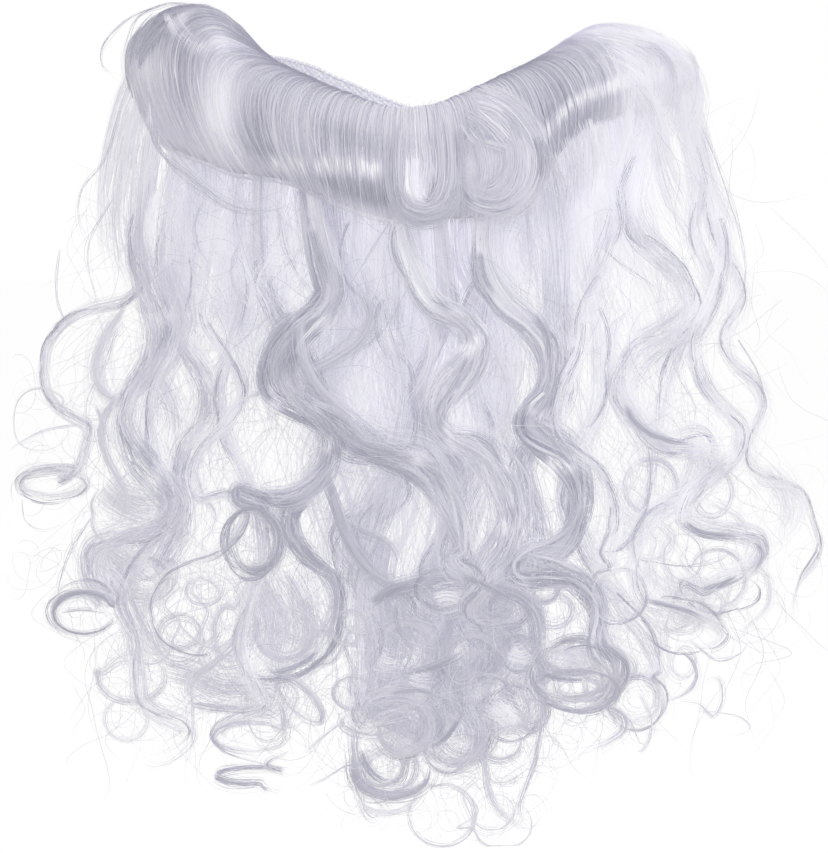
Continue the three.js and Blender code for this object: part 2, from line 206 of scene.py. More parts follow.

# Curls that lie over the locks: piece, half width, half thickness, out at start and end, strands, tone, path. The thin
# rows of tone near 0 are dark lines of painted shade, and some thin pale rows are painted highlights.
CURLS = [
    # left
    ("left", 2.4, 0.6, 25.5, 28.5, 26, 0.78, ["166,12 170,24 178,36 190,46 208,54"]),
    ("left", 1.6, 0.5, 26, 28.5, 12, 0.7, ["168,14 171,24 176,33 184,42"]),
    ("left", 2.4, 0.6, 26.5, 29, 34, 0.04, ["170,20 160,31 150,43 142,57 138,74"]),
    ("left", 2.6, 0.6, 28, 30, 34, 0.08, ["158,14 147,25 138,38 132,54 130,72"]),
    ("left", 1.6, 1.2, 30, 44, 16, 0.5, ["148,660 118,662 102,672", (132, 677, 35, 27, 165, 440, 0.85)]),
    ("left", 1.4, 1.2, 38, 48, 34, 0.0, ["264,506 272,520 276,540 273,558 264,572"]),
    ("left", 1.0, 0.9, 38, 48, 18, 0.12, ["240,508 230,524 228,546 236,566"]),
    ("left", 1.3, 1.0, 42, 52, 18, 0.1, ["322,560 333,580 337,602 333,626 324,646"]),
    ("left", 1.3, 1.0, 34, 46, 26, 0.02, ["318,652 302,664 284,671 264,672"]),
    ("left", 9.0, 4.0, 10, 18, 110, 0.62, ["246,560 260,590 274,618 272,650 254,676"]),
    ("left", 8.0, 4.0, 10, 18, 80, 0.7, ["280,570 298,600 304,630 296,656 276,674"]),
    ("left", 6.0, 3.0, 14, 22, 54, 0.84, ["124,316 106,338 98,368 106,396 126,412"]),
    ("left", 7.0, 3.0, 20, 28, 70, 0.66, ["100,486 118,502 140,512 162,518"]),
    ("left", 6.0, 3.0, 10, 16, 60, 0.76, ["146,356 162,388 174,420 170,454"]),
    ("left", 6.0, 3.0, 10, 16, 60, 0.8, ["206,296 228,316 250,324 268,312"]),
    ("left", 7.0, 4.0, 10, 18, 70, 0.62, ["160,668 190,676 220,690 252,690 284,698"]),
    ("left", 1.0, 0.9, 34, 40, 12, 0.4, ["96,404 102,420 108,438 109,456"]),
    ("left", 1.8, 1.2, 32, 38, 34, 0.02, ["322,314 304,329 291,346 281,366 278,388"]),
    ("left", 1.1, 0.9, 34, 39, 10, 0.76, ["330,312 314,327 300,343 292,362"]),
    ("left", 1.7, 1.2, 42, 48, 26, 0.12, ["334,425 350,438 368,447 386,451 402,452"]),
    ("left", 1.6, 1.0, 26, 30, 28, 0.06, ["312,228 318,250 324,270 328,288"]),
    ("left", 0.9, 0.8, 36, 40, 7, 0.6, ["110,700", (126, 719, 22, 22, 130, 420)]),
    ("left", 0.7, 0.7, 20, 26, 4, 0.7, ["88,424 62,408", (40, 420, 31, 32, 40, 360)]),
    ("left", 0.8, 0.7, 18, 26, 6, 0.6, ["90,424 62,427 40,432 18,444 0,452"]),
    ("left", 2.2, 1.6, 20, 34, 34, 0.54, ["190,338 168,368 140,386 112,403 102,420 101,442 112,470 126,496 120,520 106,536"]),
    ("left", 3.0, 2.0, 18, 26, 36, 0.62, ["128,300 108,332 96,362 100,388 118,402 136,425"]),
    ("left", 1.2, 1.1, 18, 36, 15, 0.7, ["340,358 300,378 262,392 238,402 220,424 205,446 192,458"]),
    ("left", 1.0, 1.0, 22, 30, 12, 0.5, ["232,345 244,372 246,392 228,414 212,440 212,470 222,494"]),
    ("left", 1.2, 1.0, 20, 34, 12, 0.6, ["205,448 196,470 203,496 214,512 206,540 190,560"]),
    ("left", 1.0, 0.9, 24, 38, 10, 0.6, ["268,480 258,498 228,494 204,498 192,510 186,532"]),
    ("left", 1.8, 1.4, 26, 40, 20, 0.6, ["262,560 244,592", (228, 632, 15, 26, 70, 430)]),
    ("left", 1.4, 1.0, 34, 46, 24, 0.3, ["190,704 214,708 240,710 262,706"]),
    ("left", 1.6, 1.2, 36, 46, 22, 0.45, ["262,690 282,706", (250, 737, 38, 15, 30, 420, 0.9)]),
    ("left", 2.0, 1.3, 40, 48, 30, 0.2, ["290,752 268,764", (254, 776, 38, 9, 40, 240), "262,788 282,793 297,797"]),
    ("left", 1.6, 1.4, 28, 42, 26, 0.45, ["262,660 272,672", (300, 700, 30, 12, 170, -430, 0.95, -45)]),
    ("left", 3.2, 2.4, 20, 30, 30, 0.55, ["262,560 254,600", (286, 632, 30, 28, 170, 330, 0.8)]),
    ("left", 7.0, 3.0, 26, 32, 74, 0.5, ["96,546 112,560 132,574 154,590"]),
    ("left", 2.4, 1.8, 20, 34, 22, 0.6, ["128,590 140,620 158,650 168,668"]),
    ("left", 0.9, 0.9, 26, 36, 7, 0.6, ["190,680 192,705 193,735 188,764"]),
    ("left", 2.6, 1.8, 30, 40, 26, 0.5, ["262,610 240,640 214,664 196,676 190,690 206,702 232,706"]),
    ("left", 0.8, 0.8, 34, 40, 6, 0.5, ["350,716 330,730 312,746 300,760"]),
    ("left", 0.9, 0.8, 34, 42, 8, 0.5, ["366,764 345,766 322,780 300,790"]),
    ("left", 1.2, 1.2, 18, 28, 10, 0.6, ["110,480 98,490 92,505", (112, 520, 20, 22, 160, 300)]),
    ("left", 1.0, 1.0, 30, 40, 9, 0.6, ["176,600 182,628 214,648 236,634 246,606 238,582"]),
    ("left", 1.0, 1.0, 22, 30, 10, 0.65, ["330,452 344,480 352,516 340,560 330,610 312,650"]),
    ("left", 5.6, 2.6, 20, 25, 64, 0.5, ["166,256 170,280 178,302 182,322 172,342 154,358"]),
    ("left", 3.0, 1.2, 29, 31, 32, 0.99, ["154,192 150,214 148,236 152,258"]),
    ("left", 0.9, 0.8, 27, 29, 15, 0.2, ["129,240 130,258 134,274 143,292"]),
    ("left", 1.0, 0.8, 24, 28, 12, 0.42, ["168,226 163,250 162,278 168,310"]),
    ("left", 6.0, 2.6, 16, 20, 46, 0.92, ["188,176 180,204 190,232 205,254 202,282"]),
    ("left", 6.0, 2.6, 17, 21, 46, 0.95, ["230,188 214,214 217,240 233,262 243,286 236,312"]),
    ("left", 6.0, 2.6, 17, 21, 46, 0.9, ["274,198 284,228 277,256 263,280 265,306"]),
    ("left", 7.0, 3.0, 17, 21, 60, 0.8, ["238,262 250,284 262,304 270,330"]),
    ("left", 0.9, 0.8, 22, 26, 10, 0.45, ["242,238 233,260 234,284 246,304 262,318"]),
    ("left", 0.7, 0.7, 24, 27, 9, 0.3, ["206,196 195,222 198,248 212,270"]),
    ("left", 6.0, 3.0, 24, 30, 50, 0.6, ["108,486 126,496 146,501 168,503"]),
    # centre
    ("centre", 8.0, 3.0, 16, 22, 70, 0.74, ["374,300 358,334 347,368 352,400 362,420"]),
    ("centre", 6.0, 2.6, 18, 22, 46, 0.92, ["364,228 380,256 378,286 366,306"]),
    ("centre", 6.0, 2.6, 18, 22, 46, 0.9, ["522,210 508,240 512,268 528,290 542,314"]),
    ("centre", 1.4, 1.0, 52, 55, 26, 0.0, ["374,603 386,593 400,586 418,581"]),
    ("centre", 1.2, 1.0, 52, 55, 24, 0.04, ["464,577 482,583 500,592 514,599"]),
    ("centre", 1.2, 1.0, 52, 55, 22, 0.05, ["404,673 424,669 444,661 464,648"]),
    ("centre", 1.2, 1.0, 52, 55, 22, 0.08, ["388,695 408,690 428,692 446,704"]),
    ("centre", 5.0, 1.6, 50, 53, 36, 0.97, ["492,704 508,715 524,726"]),
    ("centre", 3.2, 1.8, 37, 42, 50, 0.32, ["303,322 301,344 306,366 318,386 336,404 360,424"]),
    ("centre", 1.2, 1.0, 30, 40, 15, 0.5, ["378,598 358,604", (350, 627, 19, 17, 290, -430, 0.9)]),
    ("centre", 1.3, 1.0, 30, 40, 15, 0.46, ["382,664 362,670", (353, 693, 20, 17, 290, -430, 0.9)]),
    ("centre", 3.4, 2.6, 34, 46, 60, 0.2, ["322,470 334,500 345,531 358,555 374,573 392,583 410,588"]),
    ("centre", 2.0, 1.6, 34, 44, 26, 0.28, ["348,522 367,533 384,540 396,556 399,574"]),
    ("centre", 0.7, 0.7, 38, 44, 14, 0.04, ["468,350 462,370 452,388 441,402 437,416 441,430 452,440"]),
    ("centre", 1.6, 1.0, 34, 38, 26, 0.06, ["480,250 483,270 489,286 499,300"]),
    ("centre", 1.6, 1.0, 40, 44, 32, 0.0, ["534,312 545,330 549,352 546,378"]),
    ("centre", 1.4, 1.0, 42, 46, 26, 0.02, ["540,388 527,403 516,420"]),
    ("centre", 0.9, 0.8, 43, 47, 9, 0.84, ["545,391 533,402 526,412"]),
    ("centre", 1.4, 1.0, 28, 34, 24, 0.1, ["424,288 434,298 446,306 456,316"]),
    ("centre", 1.0, 0.8, 34, 40, 20, 0.08, ["584,452 590,474 592,500 586,522"]),
    ("centre", 3.0, 2.0, 44, 50, 60, 0.2, ["372,608 386,595 406,587 434,582 464,580 494,587 520,597 536,612 541,636 537,656 524,668"]),
    ("centre", 1.6, 1.2, 44, 48, 24, 0.22, ["403,676 414,671 436,666 458,658 470,648"]),
    ("centre", 1.5, 1.2, 40, 48, 18, 0.2, ["532,622", (518, 654, 16, 18, 40, 420, 0.9)]),
    ("centre", 7.0, 3.0, 30, 34, 70, 0.5, ["376,706 392,720 410,732 432,740"]),
    ("centre", 6.0, 3.0, 28, 36, 60, 0.56, ["446,690 462,712 470,736 462,760"]),
    ("centre", 6.0, 3.0, 30, 36, 60, 0.5, ["386,612 400,630 420,646 440,652"]),
    ("centre", 4.6, 3.4, 24, 34, 46, 0.5, ["420,590 400,610", (404, 648, 36, 34, 130, 500, 0.6)]),
    ("centre", 4.0, 3.0, 28, 38, 44, 0.38, ["470,600 456,620", (470, 655, 32, 26, 140, 460, 0.6)]),
    ("centre", 4.4, 3.0, 34, 42, 40, 0.42, ["372,690 364,706", (402, 728, 34, 32, 150, -420, 0.6)]),
    ("centre", 3.0, 2.0, 36, 46, 40, 0.24, ["352,740 354,762", (392, 772, 38, 24, 175, 215)]),
    ("centre", 2.6, 2.0, 30, 42, 34, 0.34, ["420,690 450,700 478,722 482,742 470,760 452,772 436,776"]),
    ("centre", 1.0, 1.0, 34, 42, 9, 0.45, ["420,770", (442, 815, 33, 31, 110, -430)]),
    ("centre", 0.8, 0.8, 36, 40, 7, 0.55, ["440,780 466,792 478,812 458,828", (502, 824, 30, 25, 190, 300)]),
    ("centre", 1.8, 1.4, 36, 44, 20, 0.4, ["482,720", (500, 742, 22, 19, 150, 280)]),
    ("centre", 1.6, 1.2, 34, 44, 20, 0.5, ["470,730 484,762 488,790 500,812 522,826 532,828"]),
    ("centre", 1.2, 1.0, 34, 40, 10, 0.55, ["352,790 362,806 386,814 410,806 420,790 408,780"]),
    ("centre", 1.4, 1.2, 30, 42, 16, 0.35, ["510,500 516,560 536,640 543,700 536,760 520,810 528,826"]),
    ("centre", 3.6, 2.6, 26, 38, 44, 0.4, ["500,640 480,660", (486, 690, 30, 22, 120, 430, 0.6)]),
    ("centre", 1.6, 1.2, 40, 50, 22, 0.4, ["610,640 614,660", (572, 657, 30, 18, 20, -420, 0.85)]),
    ("centre", 1.3, 1.1, 42, 50, 18, 0.3, ["540,688", (578, 692, 44, 22, 160, -300, 0.9)]),
    ("centre", 1.3, 0.9, 50, 54, 22, 0.02, ["548,648 562,640 580,638 596,643 606,652"]),
    ("centre", 1.2, 0.9, 50, 54, 20, 0.04, ["540,672 556,678 574,680 592,680"]),
    ("centre", 0.9, 0.8, 50, 54, 16, 0.06, ["542,700 560,708 580,712 600,710"]),
    ("centre", 6.0, 2.0, 34, 40, 70, 0.84, ["544,652 566,656 590,660 612,668"]),
    ("centre", 1.8, 1.2, 46, 52, 30, 0.04, ["372,604 384,594 398,588 412,584"]),
    ("centre", 1.4, 1.0, 46, 52, 26, 0.06, ["360,748 366,764 378,778 396,782"]),
    ("centre", 5.0, 2.0, 40, 44, 50, 0.8, ["440,604 464,600 490,604"]),
    ("centre", 5.0, 2.0, 38, 42, 50, 0.82, ["484,706 500,716 520,722"]),
    ("centre", 1.1, 0.9, 46, 50, 18, 0.06, ["430,748 446,738 458,722 466,704"]),
    ("centre", 1.8, 1.4, 42, 48, 26, 0.3, ["586,706 606,708 621,716 624,728 609,741 589,748 572,751"]),
    ("centre", 2.0, 1.8, 34, 42, 26, 0.5, ["545,560 568,568 592,580 604,606 600,636 588,652"]),
    ("centre", 2.2, 1.8, 26, 36, 24, 0.4, ["500,440 518,458 529,480 530,505 524,525 512,540"]),
    ("centre", 2.0, 1.8, 22, 32, 20, 0.66, ["402,285 425,310 433,340 426,375 406,404 392,425"]),
    ("centre", 2.8, 2.0, 26, 34, 40, 0.34, ["358,284 371,314 360,340 334,360 306,374 286,396"]),
    ("centre", 2.6, 2.0, 24, 34, 30, 0.6, ["470,325 496,350 510,385 508,415 494,440 500,462"]),
    # right
    ("right", 6.0, 2.6, 16, 20, 46, 0.95, ["562,176 575,206 580,234 570,262"]),
    ("right", 6.0, 2.6, 16, 20, 44, 0.95, ["602,146 594,178 603,208 620,232"]),
    ("right", 1.2, 0.9, 38, 46, 26, 0.0, ["624,404 632,418 646,431 664,439 684,443 698,443"]),
    ("right", 1.1, 0.8, 46, 52, 24, 0.0, ["684,522 698,531 716,535 744,535"]),
    ("right", 0.9, 0.8, 46, 52, 18, 0.1, ["754,542 762,552 758,566 748,577"]),
    ("right", 1.0, 0.8, 42, 48, 20, 0.04, ["700,590 714,586 728,581 742,574"]),
    ("right", 6.0, 2.4, 18, 24, 50, 0.8, ["764,468 782,488 788,514 776,540"]),
    ("right", 5.0, 2.0, 34, 38, 44, 0.84, ["688,446 708,450 730,452"]),
    ("right", 4.0, 1.8, 14, 20, 24, 0.9, ["640,560 660,580 684,590 706,586"]),
    ("right", 0.9, 0.8, 42, 48, 18, 0.06, ["646,600 668,606 692,613 708,622"]),
    ("right", 1.4, 1.0, 28, 30, 20, 0.42, ["634,42 654,47 669,62 675,84 672,106 661,124"]),
    ("right", 1.0, 0.8, 29, 30, 12, 0.5, ["640,92 651,106 653,122 645,136"]),
    ("right", 1.2, 1.0, 26, 28, 14, 0.62, ["684,44 696,64 697,96 689,124 693,148"]),
    ("right", 1.8, 1.4, 16, 30, 14, 0.5, ["632,440", (651, 486, 27, 28, 110, -450)]),
    ("right", 1.6, 1.4, 30, 40, 12, 0.5, ["690,560", (717, 579, 28, 29, 160, -440)]),
    ("right", 1.4, 1.2, 20, 30, 10, 0.5, ["596,570", (622, 595, 24, 26, 160, 430)]),
    ("right", 1.6, 1.3, 16, 30, 12, 0.5, ["696,450", (713, 492, 19, 24, 120, -450)]),
    ("right", 1.2, 1.0, 30, 40, 12, 0.2, ["646,440 650,470 648,500 640,524 626,544 609,552 594,548"]),
    ("right", 1.2, 1.0, 18, 34, 12, 0.72, ["662,530", (683, 557, 20, 24, 130, 420)]),
    ("right", 1.3, 1.2, 36, 46, 16, 0.5, ["680,519 692,529 712,534 738,536 758,540 762,552 754,565 738,575 716,583 703,590"]),
    ("right", 2.6, 1.8, 24, 36, 18, 0.76, ["748,470 762,484 790,488 802,500 797,524 778,546 762,560"]),
    ("right", 2.4, 1.6, 28, 38, 16, 0.66, ["756,562 768,580 768,604 752,624 734,640"]),
    ("right", 0.8, 0.8, 18, 26, 6, 0.5, ["808,500 815,528 820,552 815,566 800,584 793,600 789,622"]),
    ("right", 1.4, 1.2, 26, 36, 16, 0.3, ["678,648 692,660 697,676 690,690 674,699 662,700"]),
    ("right", 0.9, 0.9, 22, 30, 7, 0.55, ["676,700 700,704 713,716 722,700 718,678 704,682 694,696"]),
    ("right", 1.8, 1.6, 22, 32, 14, 0.7, ["612,702 636,676 652,680 658,704 654,730 652,748"]),
    ("right", 1.2, 1.0, 20, 30, 8, 0.66, ["640,690 652,720 648,745 640,752 632,742"]),
    ("right", 1.8, 1.6, 40, 48, 14, 0.72, ["640,596 664,602 694,611 716,624 722,636 708,646 684,648"]),
    ("right", 0.5, 0.5, 20, 24, 3, 0.75, ["694,712 715,712 742,718 750,728 738,735 716,734 698,732"]),
    ("right", 1.8, 1.4, 18, 28, 13, 0.78, ["702,500 720,506 742,520 748,548 735,566"]),
    ("right", 1.4, 1.2, 18, 26, 12, 0.8, ["560,470 570,510 566,550 560,585 566,620"]),
    # painted highlights and painted shade among the end curls
    ("centre", 5.0, 1.6, 51, 54, 30, 0.98, ["434,600 448,597 464,602"]),
    ("centre", 5.0, 1.6, 51, 54, 26, 0.98, ["378,658 388,663 400,662"]),
    ("centre", 5.0, 1.6, 51, 54, 26, 0.96, ["408,676 420,680 434,680"]),
    ("centre", 5.0, 1.6, 50, 53, 26, 0.96, ["508,652 520,656 534,652"]),
    ("centre", 0.9, 0.8, 53, 55, 16, 0.08, ["399,594 396,616 404,638 420,656"]),
    # the crisp line of the outer left ring, and the hair across it
    ("left", 1.5, 1.1, 46, 50, 36, 0.12, ["116,600", (84, 613, 31, 21, 20, 350, 1.0)]),
    ("left", 0.7, 0.6, 48, 50, 8, 0.3, ["60,612 84,609 112,613"]),
]

# Single hairs that stand off: out, strands, path.
STRAYS = [
    (12, 3, ["196,5 168,4 138,18 128,40 126,64"]),
    (16, 3, ["160,5 122,22 102,48 104,68 118,79 130,84"]),
    (30, 4, ["148,124 158,150 188,176 222,204 246,211 276,209 306,198"]),
    (32, 3, ["150,132 172,168 206,198 240,212 268,210 292,203"]),
    (14, 2, ["700,120 720,170 742,240 745,284 720,338"]),
    (14, 2, ["738,340 757,372 763,402 748,448"]),
    (18, 2, ["612,200 606,228 592,262 582,286"]),
    (22, 2, ["602,245 622,264 646,282 668,296"]),
    (16, 2, ["120,110 104,160 82,190 80,230 98,262"]),
    (16, 2, ["112,200 88,246 94,290 108,330"]),
    (12, 2, ["60,250 56,290 66,320 92,330"]),
    (16, 2, ["118,330 104,370 88,400 92,432 110,452"]),
    (20, 2, ["276,210 284,250 300,280 322,296"]),
    (24, 2, ["392,222 372,252 352,286 340,310"]),
    (14, 2, ["90,520 66,560 58,590 66,606"]),
    (24, 2, ["300,600 330,640 336,690 352,740"]),
    (24, 2, ["210,640 240,690 300,730 330,760"]),
    (16, 2, ["690,640 720,660 742,652 750,630"]),
    (16, 2, ["640,560 690,566 726,556 744,536"]),
    (22, 2, ["352,700 358,760 378,804 402,816"]),
    (22, 2, ["590,700 628,722 640,742 652,748"]),
    (14, 1, ["20,500 24,520 44,532 70,520"]),
    (14, 1, ["8,500 2,490 14,482 40,486"]),
]

# Pale hair that falls from under the roll between the locks.
CURTAIN = [
    ("left", 3.4, 8, 14, 50, 0.86, ["140,64 124,96 112,140 104,190 106,250 116,290"]),
    ("left", 3.2, 9, 14, 50, 0.78, ["146,84 132,120 122,165 116,215 122,262 134,300"]),
    ("left", 3.0, 12, 16, 50, 0.6, ["156,116 150,172 142,218 134,262 146,304"]),
    ("left", 3.4, 10, 14, 50, 0.84, ["172,136 174,200 176,245 162,296"]),
    ("left", 3.8, 12, 16, 50, 0.74, ["196,140 198,206 184,256 172,300 176,340"]),
    ("left", 4.2, 10, 14, 50, 0.8, ["222,150 208,212 192,252 188,292 200,334"]),
    ("left", 4.6, 9, 14, 50, 0.86, ["252,160 238,228 226,284 238,336 252,376 246,420"]),
    ("left", 3.4, 9, 16, 40, 0.86, ["276,165 264,240 270,300 256,350 262,400 280,440"]),
    ("left", 2.0, 27, 22, 26, 0.88, ["150,60 150,100 168,140 196,176 226,210 250,240"]),
    ("left", 2.0, 28, 22, 20, 0.5, ["146,70 150,112 172,152 204,186 240,206 272,212"]),
    ("centre", 6.0, 9, 14, 60, 0.74, ["330,180 334,250 350,300 346,350 330,400 338,450 352,500"]),
    ("centre", 6.0, 9, 14, 60, 0.8, ["412,195 420,260 412,320 404,380 416,440 412,500"]),
    ("centre", 6.0, 9, 14, 60, 0.74, ["460,190 462,260 486,310 500,360 492,420 500,480 490,530"]),
    ("centre", 6.0, 12, 16, 80, 0.6, ["520,170 524,230 530,280 536,320"]),
    ("centre", 5.0, 10, 14, 60, 0.66, ["545,150 552,210 556,260 552,310 540,360 548,420"]),
    ("centre", 7.0, 14, 22, 100, 0.36, ["312,178 318,220 325,256 329,290"]),
    ("right", 4.4, 9, 14, 50, 0.9, ["572,120 578,180 570,235 566,290 578,340 570,390"]),
    ("right", 4.0, 9, 14, 46, 0.88, ["612,100 620,165 616,215 602,262 592,310"]),
    ("right", 4.0, 9, 14, 50, 0.84, ["650,90 656,160 668,205 690,246 700,280"]),
    ("right", 4.0, 9, 14, 50, 0.88, ["668,80 690,150 700,200 722,244 734,284 722,326"]),
    ("right", 3.4, 9, 14, 44, 0.9, ["682,70 700,130 712,180 734,226 744,270"]),
    ("right", 2.4, 9, 16, 26, 0.84, ["628,300 610,350 616,400 640,440 656,480"]),
    ("right", 3.6, 27, 16, 60, 0.95, ["622,34 656,44 676,66 684,98 688,140 700,190 716,230"]),
    ("right", 3.6, 29, 16, 60, 0.8, ["592,32 630,40 656,56 670,86 668,126 656,170 648,210"]),
    ("right", 2.6, 28, 18, 50, 0.97, ["640,36 672,48 690,72 694,104 700,140"]),
    ("right", 3.0, 28, 16, 50, 0.94, ["590,60 612,80 628,108 622,150 606,190 596,230"]),
    ("right", 4.4, 29, 14, 60, 0.97, ["606,44 640,66 654,98 648,136 630,180 618,230"]),
    ("right", 4.0, 29, 14, 50, 0.97, ["616,60 642,84 660,118 668,160 690,210 706,256"]),
    ("right", 2.6, 28, 16, 40, 0.7, ["600,34 640,44 664,64 676,92 674,130 662,160"]),
    ("right", 3.0, 27, 15, 40, 0.99, ["664,46 690,66 702,96 698,130 706,176 722,214"]),
    ("right", 4.4, 36, 18, 30, 0.62, ["550,150 559,176 563,204 558,244"]),
    ("right", 3.6, 36, 18, 26, 0.74, ["568,134 575,160 577,186 571,232"]),
    ("right", 4.0, 35, 18, 34, 0.84, ["586,118 593,146 593,176 586,222"]),
    ("left", 3.6, 28, 16, 44, 0.9, ["151,100 153,126 151,156 143,198 138,240"]),
    ("left", 3.6, 27, 16, 50, 0.97, ["134,76 138,104 130,134 126,170 122,214 118,250"]),
]

# The under-layer: band from, to, foot from, to and level, single hairs, bunches,
# levels between which the bunches end.
UNDER = {
    "under_layer_left": (-99, -32, -128, -38, -205, 250, 13, -82, -128),
    "under_layer_centre": (-36, 36, -50, 56, -272, 260, 16, -165, -240),
    "under_layer_right": (32, 99, 40, 128, -215, 230, 13, -78, -124),
}

ROWS = 32  # rows of tone on the strands' map
LINES = 5  # fine hairs drawn across a row


# ------------------------------------------------------------------ functions
def ease(t):
    t = np.clip(t, 0, 1)
    return t * t * (3 - 2 * t)


def station(x, column):
    """A column of the stations at x, smooth between rows."""
    x = np.asarray(x, float)
    rows = STATIONS
    i = np.clip(np.searchsorted(rows[:, 0], x, side="right") - 1, 0, len(rows) - 2)
    before, after = np.maximum(i - 1, 0), np.minimum(i + 2, len(rows) - 1)
    span = rows[i + 1, 0] - rows[i, 0]
    t = np.clip((x - rows[i, 0]) / span, 0, 1)
    ma = (rows[i + 1, column] - rows[before, column]) / np.maximum(1e-6, rows[i + 1, 0] - rows[before, 0]) * span
    mb = (rows[after, column] - rows[i, column]) / np.maximum(1e-6, rows[after, 0] - rows[i, 0]) * span
    t2, t3 = t * t, t * t * t
    return (
        (2 * t3 - 3 * t2 + 1) * rows[i, column]
        + (t3 - 2 * t2 + t) * ma
        + (3 * t2 - 2 * t3) * rows[i + 1, column]
        + (t3 - t2) * mb
    )


def from_band(x, out, z):
    s = np.clip(np.asarray(x, float) / JAW_HALF, -0.995, 0.995)
    c = np.sqrt(1 - s * s)
    return np.stack([(JAW_HALF + out) * s, JAW_DEEP - (JAW_DEEP + out) * c, z + 0 * s], -1)


def drape_y(x, out, z):
    """How far back the beard's curve lies at x and z, a given distance out from it."""
    across = JAW_HALF + FLARE * ease((FLARE_TOP - z) / FLARE_TALL) + out
    deep = JAW_DEEP + out
    share = np.abs(x) / across
    c = math.sqrt(1 - 0.81)
    near = JAW_DEEP - deep * np.sqrt(np.clip(1 - share * share, 0, 1))
    slope = np.minimum(1.5, deep / across * 0.9 / c)
    far = JAW_DEEP - deep * c + slope * (np.abs(x) - 0.9 * across)
    y = np.where(share <= 0.9, near, far)
    return np.where(y > 112, 112 + 17 * np.tanh((y - 112) / 17), y)


def drape(q):
    x, out, z = q[..., 0], q[..., 1], q[..., 2]
    x = np.where(x < -170, -170 - 13 * np.tanh((-170 - x) / 13), x)
    x = np.where(x > 185, 185 + 13 * np.tanh((x - 185) / 13), x)
    return np.stack([x, drape_y(x, out, z), z], -1)


def seen(px, py, out):
    """The point in x, out and z that the front view shows at px, py."""
    right = (px - 414) * PIXEL
    high = (426.5 - py) * PIXEL
    along = CAM_FAR * SLOPE + high * RISE
    down = high * SLOPE - CAM_FAR * RISE
    y = np.zeros_like(right)
    for _ in range(12):
        t = (y - EYE[1]) / along
        x, z = EYE[0] + right * t, EYE[2] + down * t
        y = 0.5 * y + 0.5 * drape_y(x, out, z)
    t = (y - EYE[1]) / along
    return np.stack([EYE[0] + right * t, out, EYE[2] + down * t], -1)


def unit(v):
    return v / np.maximum(1e-9, np.linalg.norm(v, axis=-1, keepdims=True))


def path(items, out0, out1):
    """A smooth middle line through points and rings, in x, out and z, evenly spaced."""
    pts = []
    for item in items:
        if isinstance(item, str):
            for word in item.split():
                u, v = word.split(",")
                pts.append((float(u), float(v), 0.0))
            continue
        cx, cy, rx, ry, a0, turn = item[:6]
        end = item[6] if len(item) > 6 else 1.0
        tilt = math.radians(item[7]) if len(item) > 7 else 0.0
        n = max(2, math.ceil(abs(turn) / 30))
        for k in range(n + 1):
            a = math.radians(a0 + turn * k / n)
            scale = 1 + (end - 1) * k / n
            u, v = rx * math.cos(a) * scale, ry * math.sin(a) * scale
            if rx >= ry:
                deep = math.sqrt(rx * rx - ry * ry) * math.sin(a) * scale
            else:
                deep = math.sqrt(ry * ry - rx * rx) * math.cos(a) * scale
            uu = u * math.cos(tilt) - v * math.sin(tilt)
            vv = u * math.sin(tilt) + v * math.cos(tilt)
            pts.append((cx + uu, cy - vv, deep * PIXEL * 0.8))
    pts = np.array(pts)
    keep = np.ones(len(pts), bool)
    keep[1:] = np.hypot(*(np.diff(pts[:, :2], axis=0).T)) > 0.5
    pts = pts[keep]
    if len(pts) == 2:
        pts = np.array([pts[0], pts.mean(0), pts[1]])
    ends = np.vstack([2 * pts[0] - pts[1], pts, 2 * pts[-1] - pts[-2]])
    knot = np.concatenate([[0], np.cumsum(np.linalg.norm(np.diff(ends[:, :2], axis=0), axis=1) ** 0.5)])
    fine = []
    for i in range(1, len(ends) - 2):
        p0, p1, p2, p3 = ends[i - 1 : i + 3]
        t0, t1, t2, t3 = knot[i - 1 : i + 3]
        n = max(4, int(np.linalg.norm(p2 - p1) / 1.5))
        t = np.linspace(t1, t2, n, endpoint=False)[:, None]
        a1 = (t1 - t) / (t1 - t0) * p0 + (t - t0) / (t1 - t0) * p1
        a2 = (t2 - t) / (t2 - t1) * p1 + (t - t1) / (t2 - t1) * p2
        a3 = (t3 - t) / (t3 - t2) * p2 + (t - t2) / (t3 - t2) * p3
        b1 = (t2 - t) / (t2 - t0) * a1 + (t - t0) / (t2 - t0) * a2
        b2 = (t3 - t) / (t3 - t1) * a2 + (t - t1) / (t3 - t1) * a3
        fine.append((t2 - t) / (t2 - t1) * b1 + (t - t1) / (t2 - t1) * b2)
    fine.append(pts[-1:])
    fine = np.concatenate(fine)
    run = np.concatenate([[0], np.cumsum(np.linalg.norm(np.diff(fine, axis=0), axis=1))])
    m = max(40, int(run[-1] / 1.6))
    even = np.linspace(0, run[-1], m)
    fine = np.stack([np.interp(even, run, fine[:, k]) for k in range(3)], -1)
    share = even / even[-1]
    out = out0 + (out1 - out0) * ease(share * 1.15) + fine[:, 2]
    return seen(fine[:, 0], fine[:, 1], np.maximum(3.0, out))


def sample(dense, u):
    """Rows of dense at fractions u of its length, straight between rows."""
    m = len(dense) - 1
    f = np.clip(u, 0, 1) * m
    i = np.minimum(f.astype(int), m - 1)
    t = (f - i)[..., None]
    return dense[i] * (1 - t) + dense[i + 1] * t


def wobble(count, arc, amount, wave):
    """Slow random sway of each strand: count x points x 3."""
    out = np.zeros((count, arc.shape[-1], 3))
    for k in (1.0, 0.53):
        phase = rng.uniform(0, 2 * math.pi, (count, 1, 3))
        length = wave * k * rng.uniform(0.75, 1.3, (count, 1, 3))
        out += k * np.sin(arc[..., None] * 2 * math.pi / length + phase)
    return out * amount


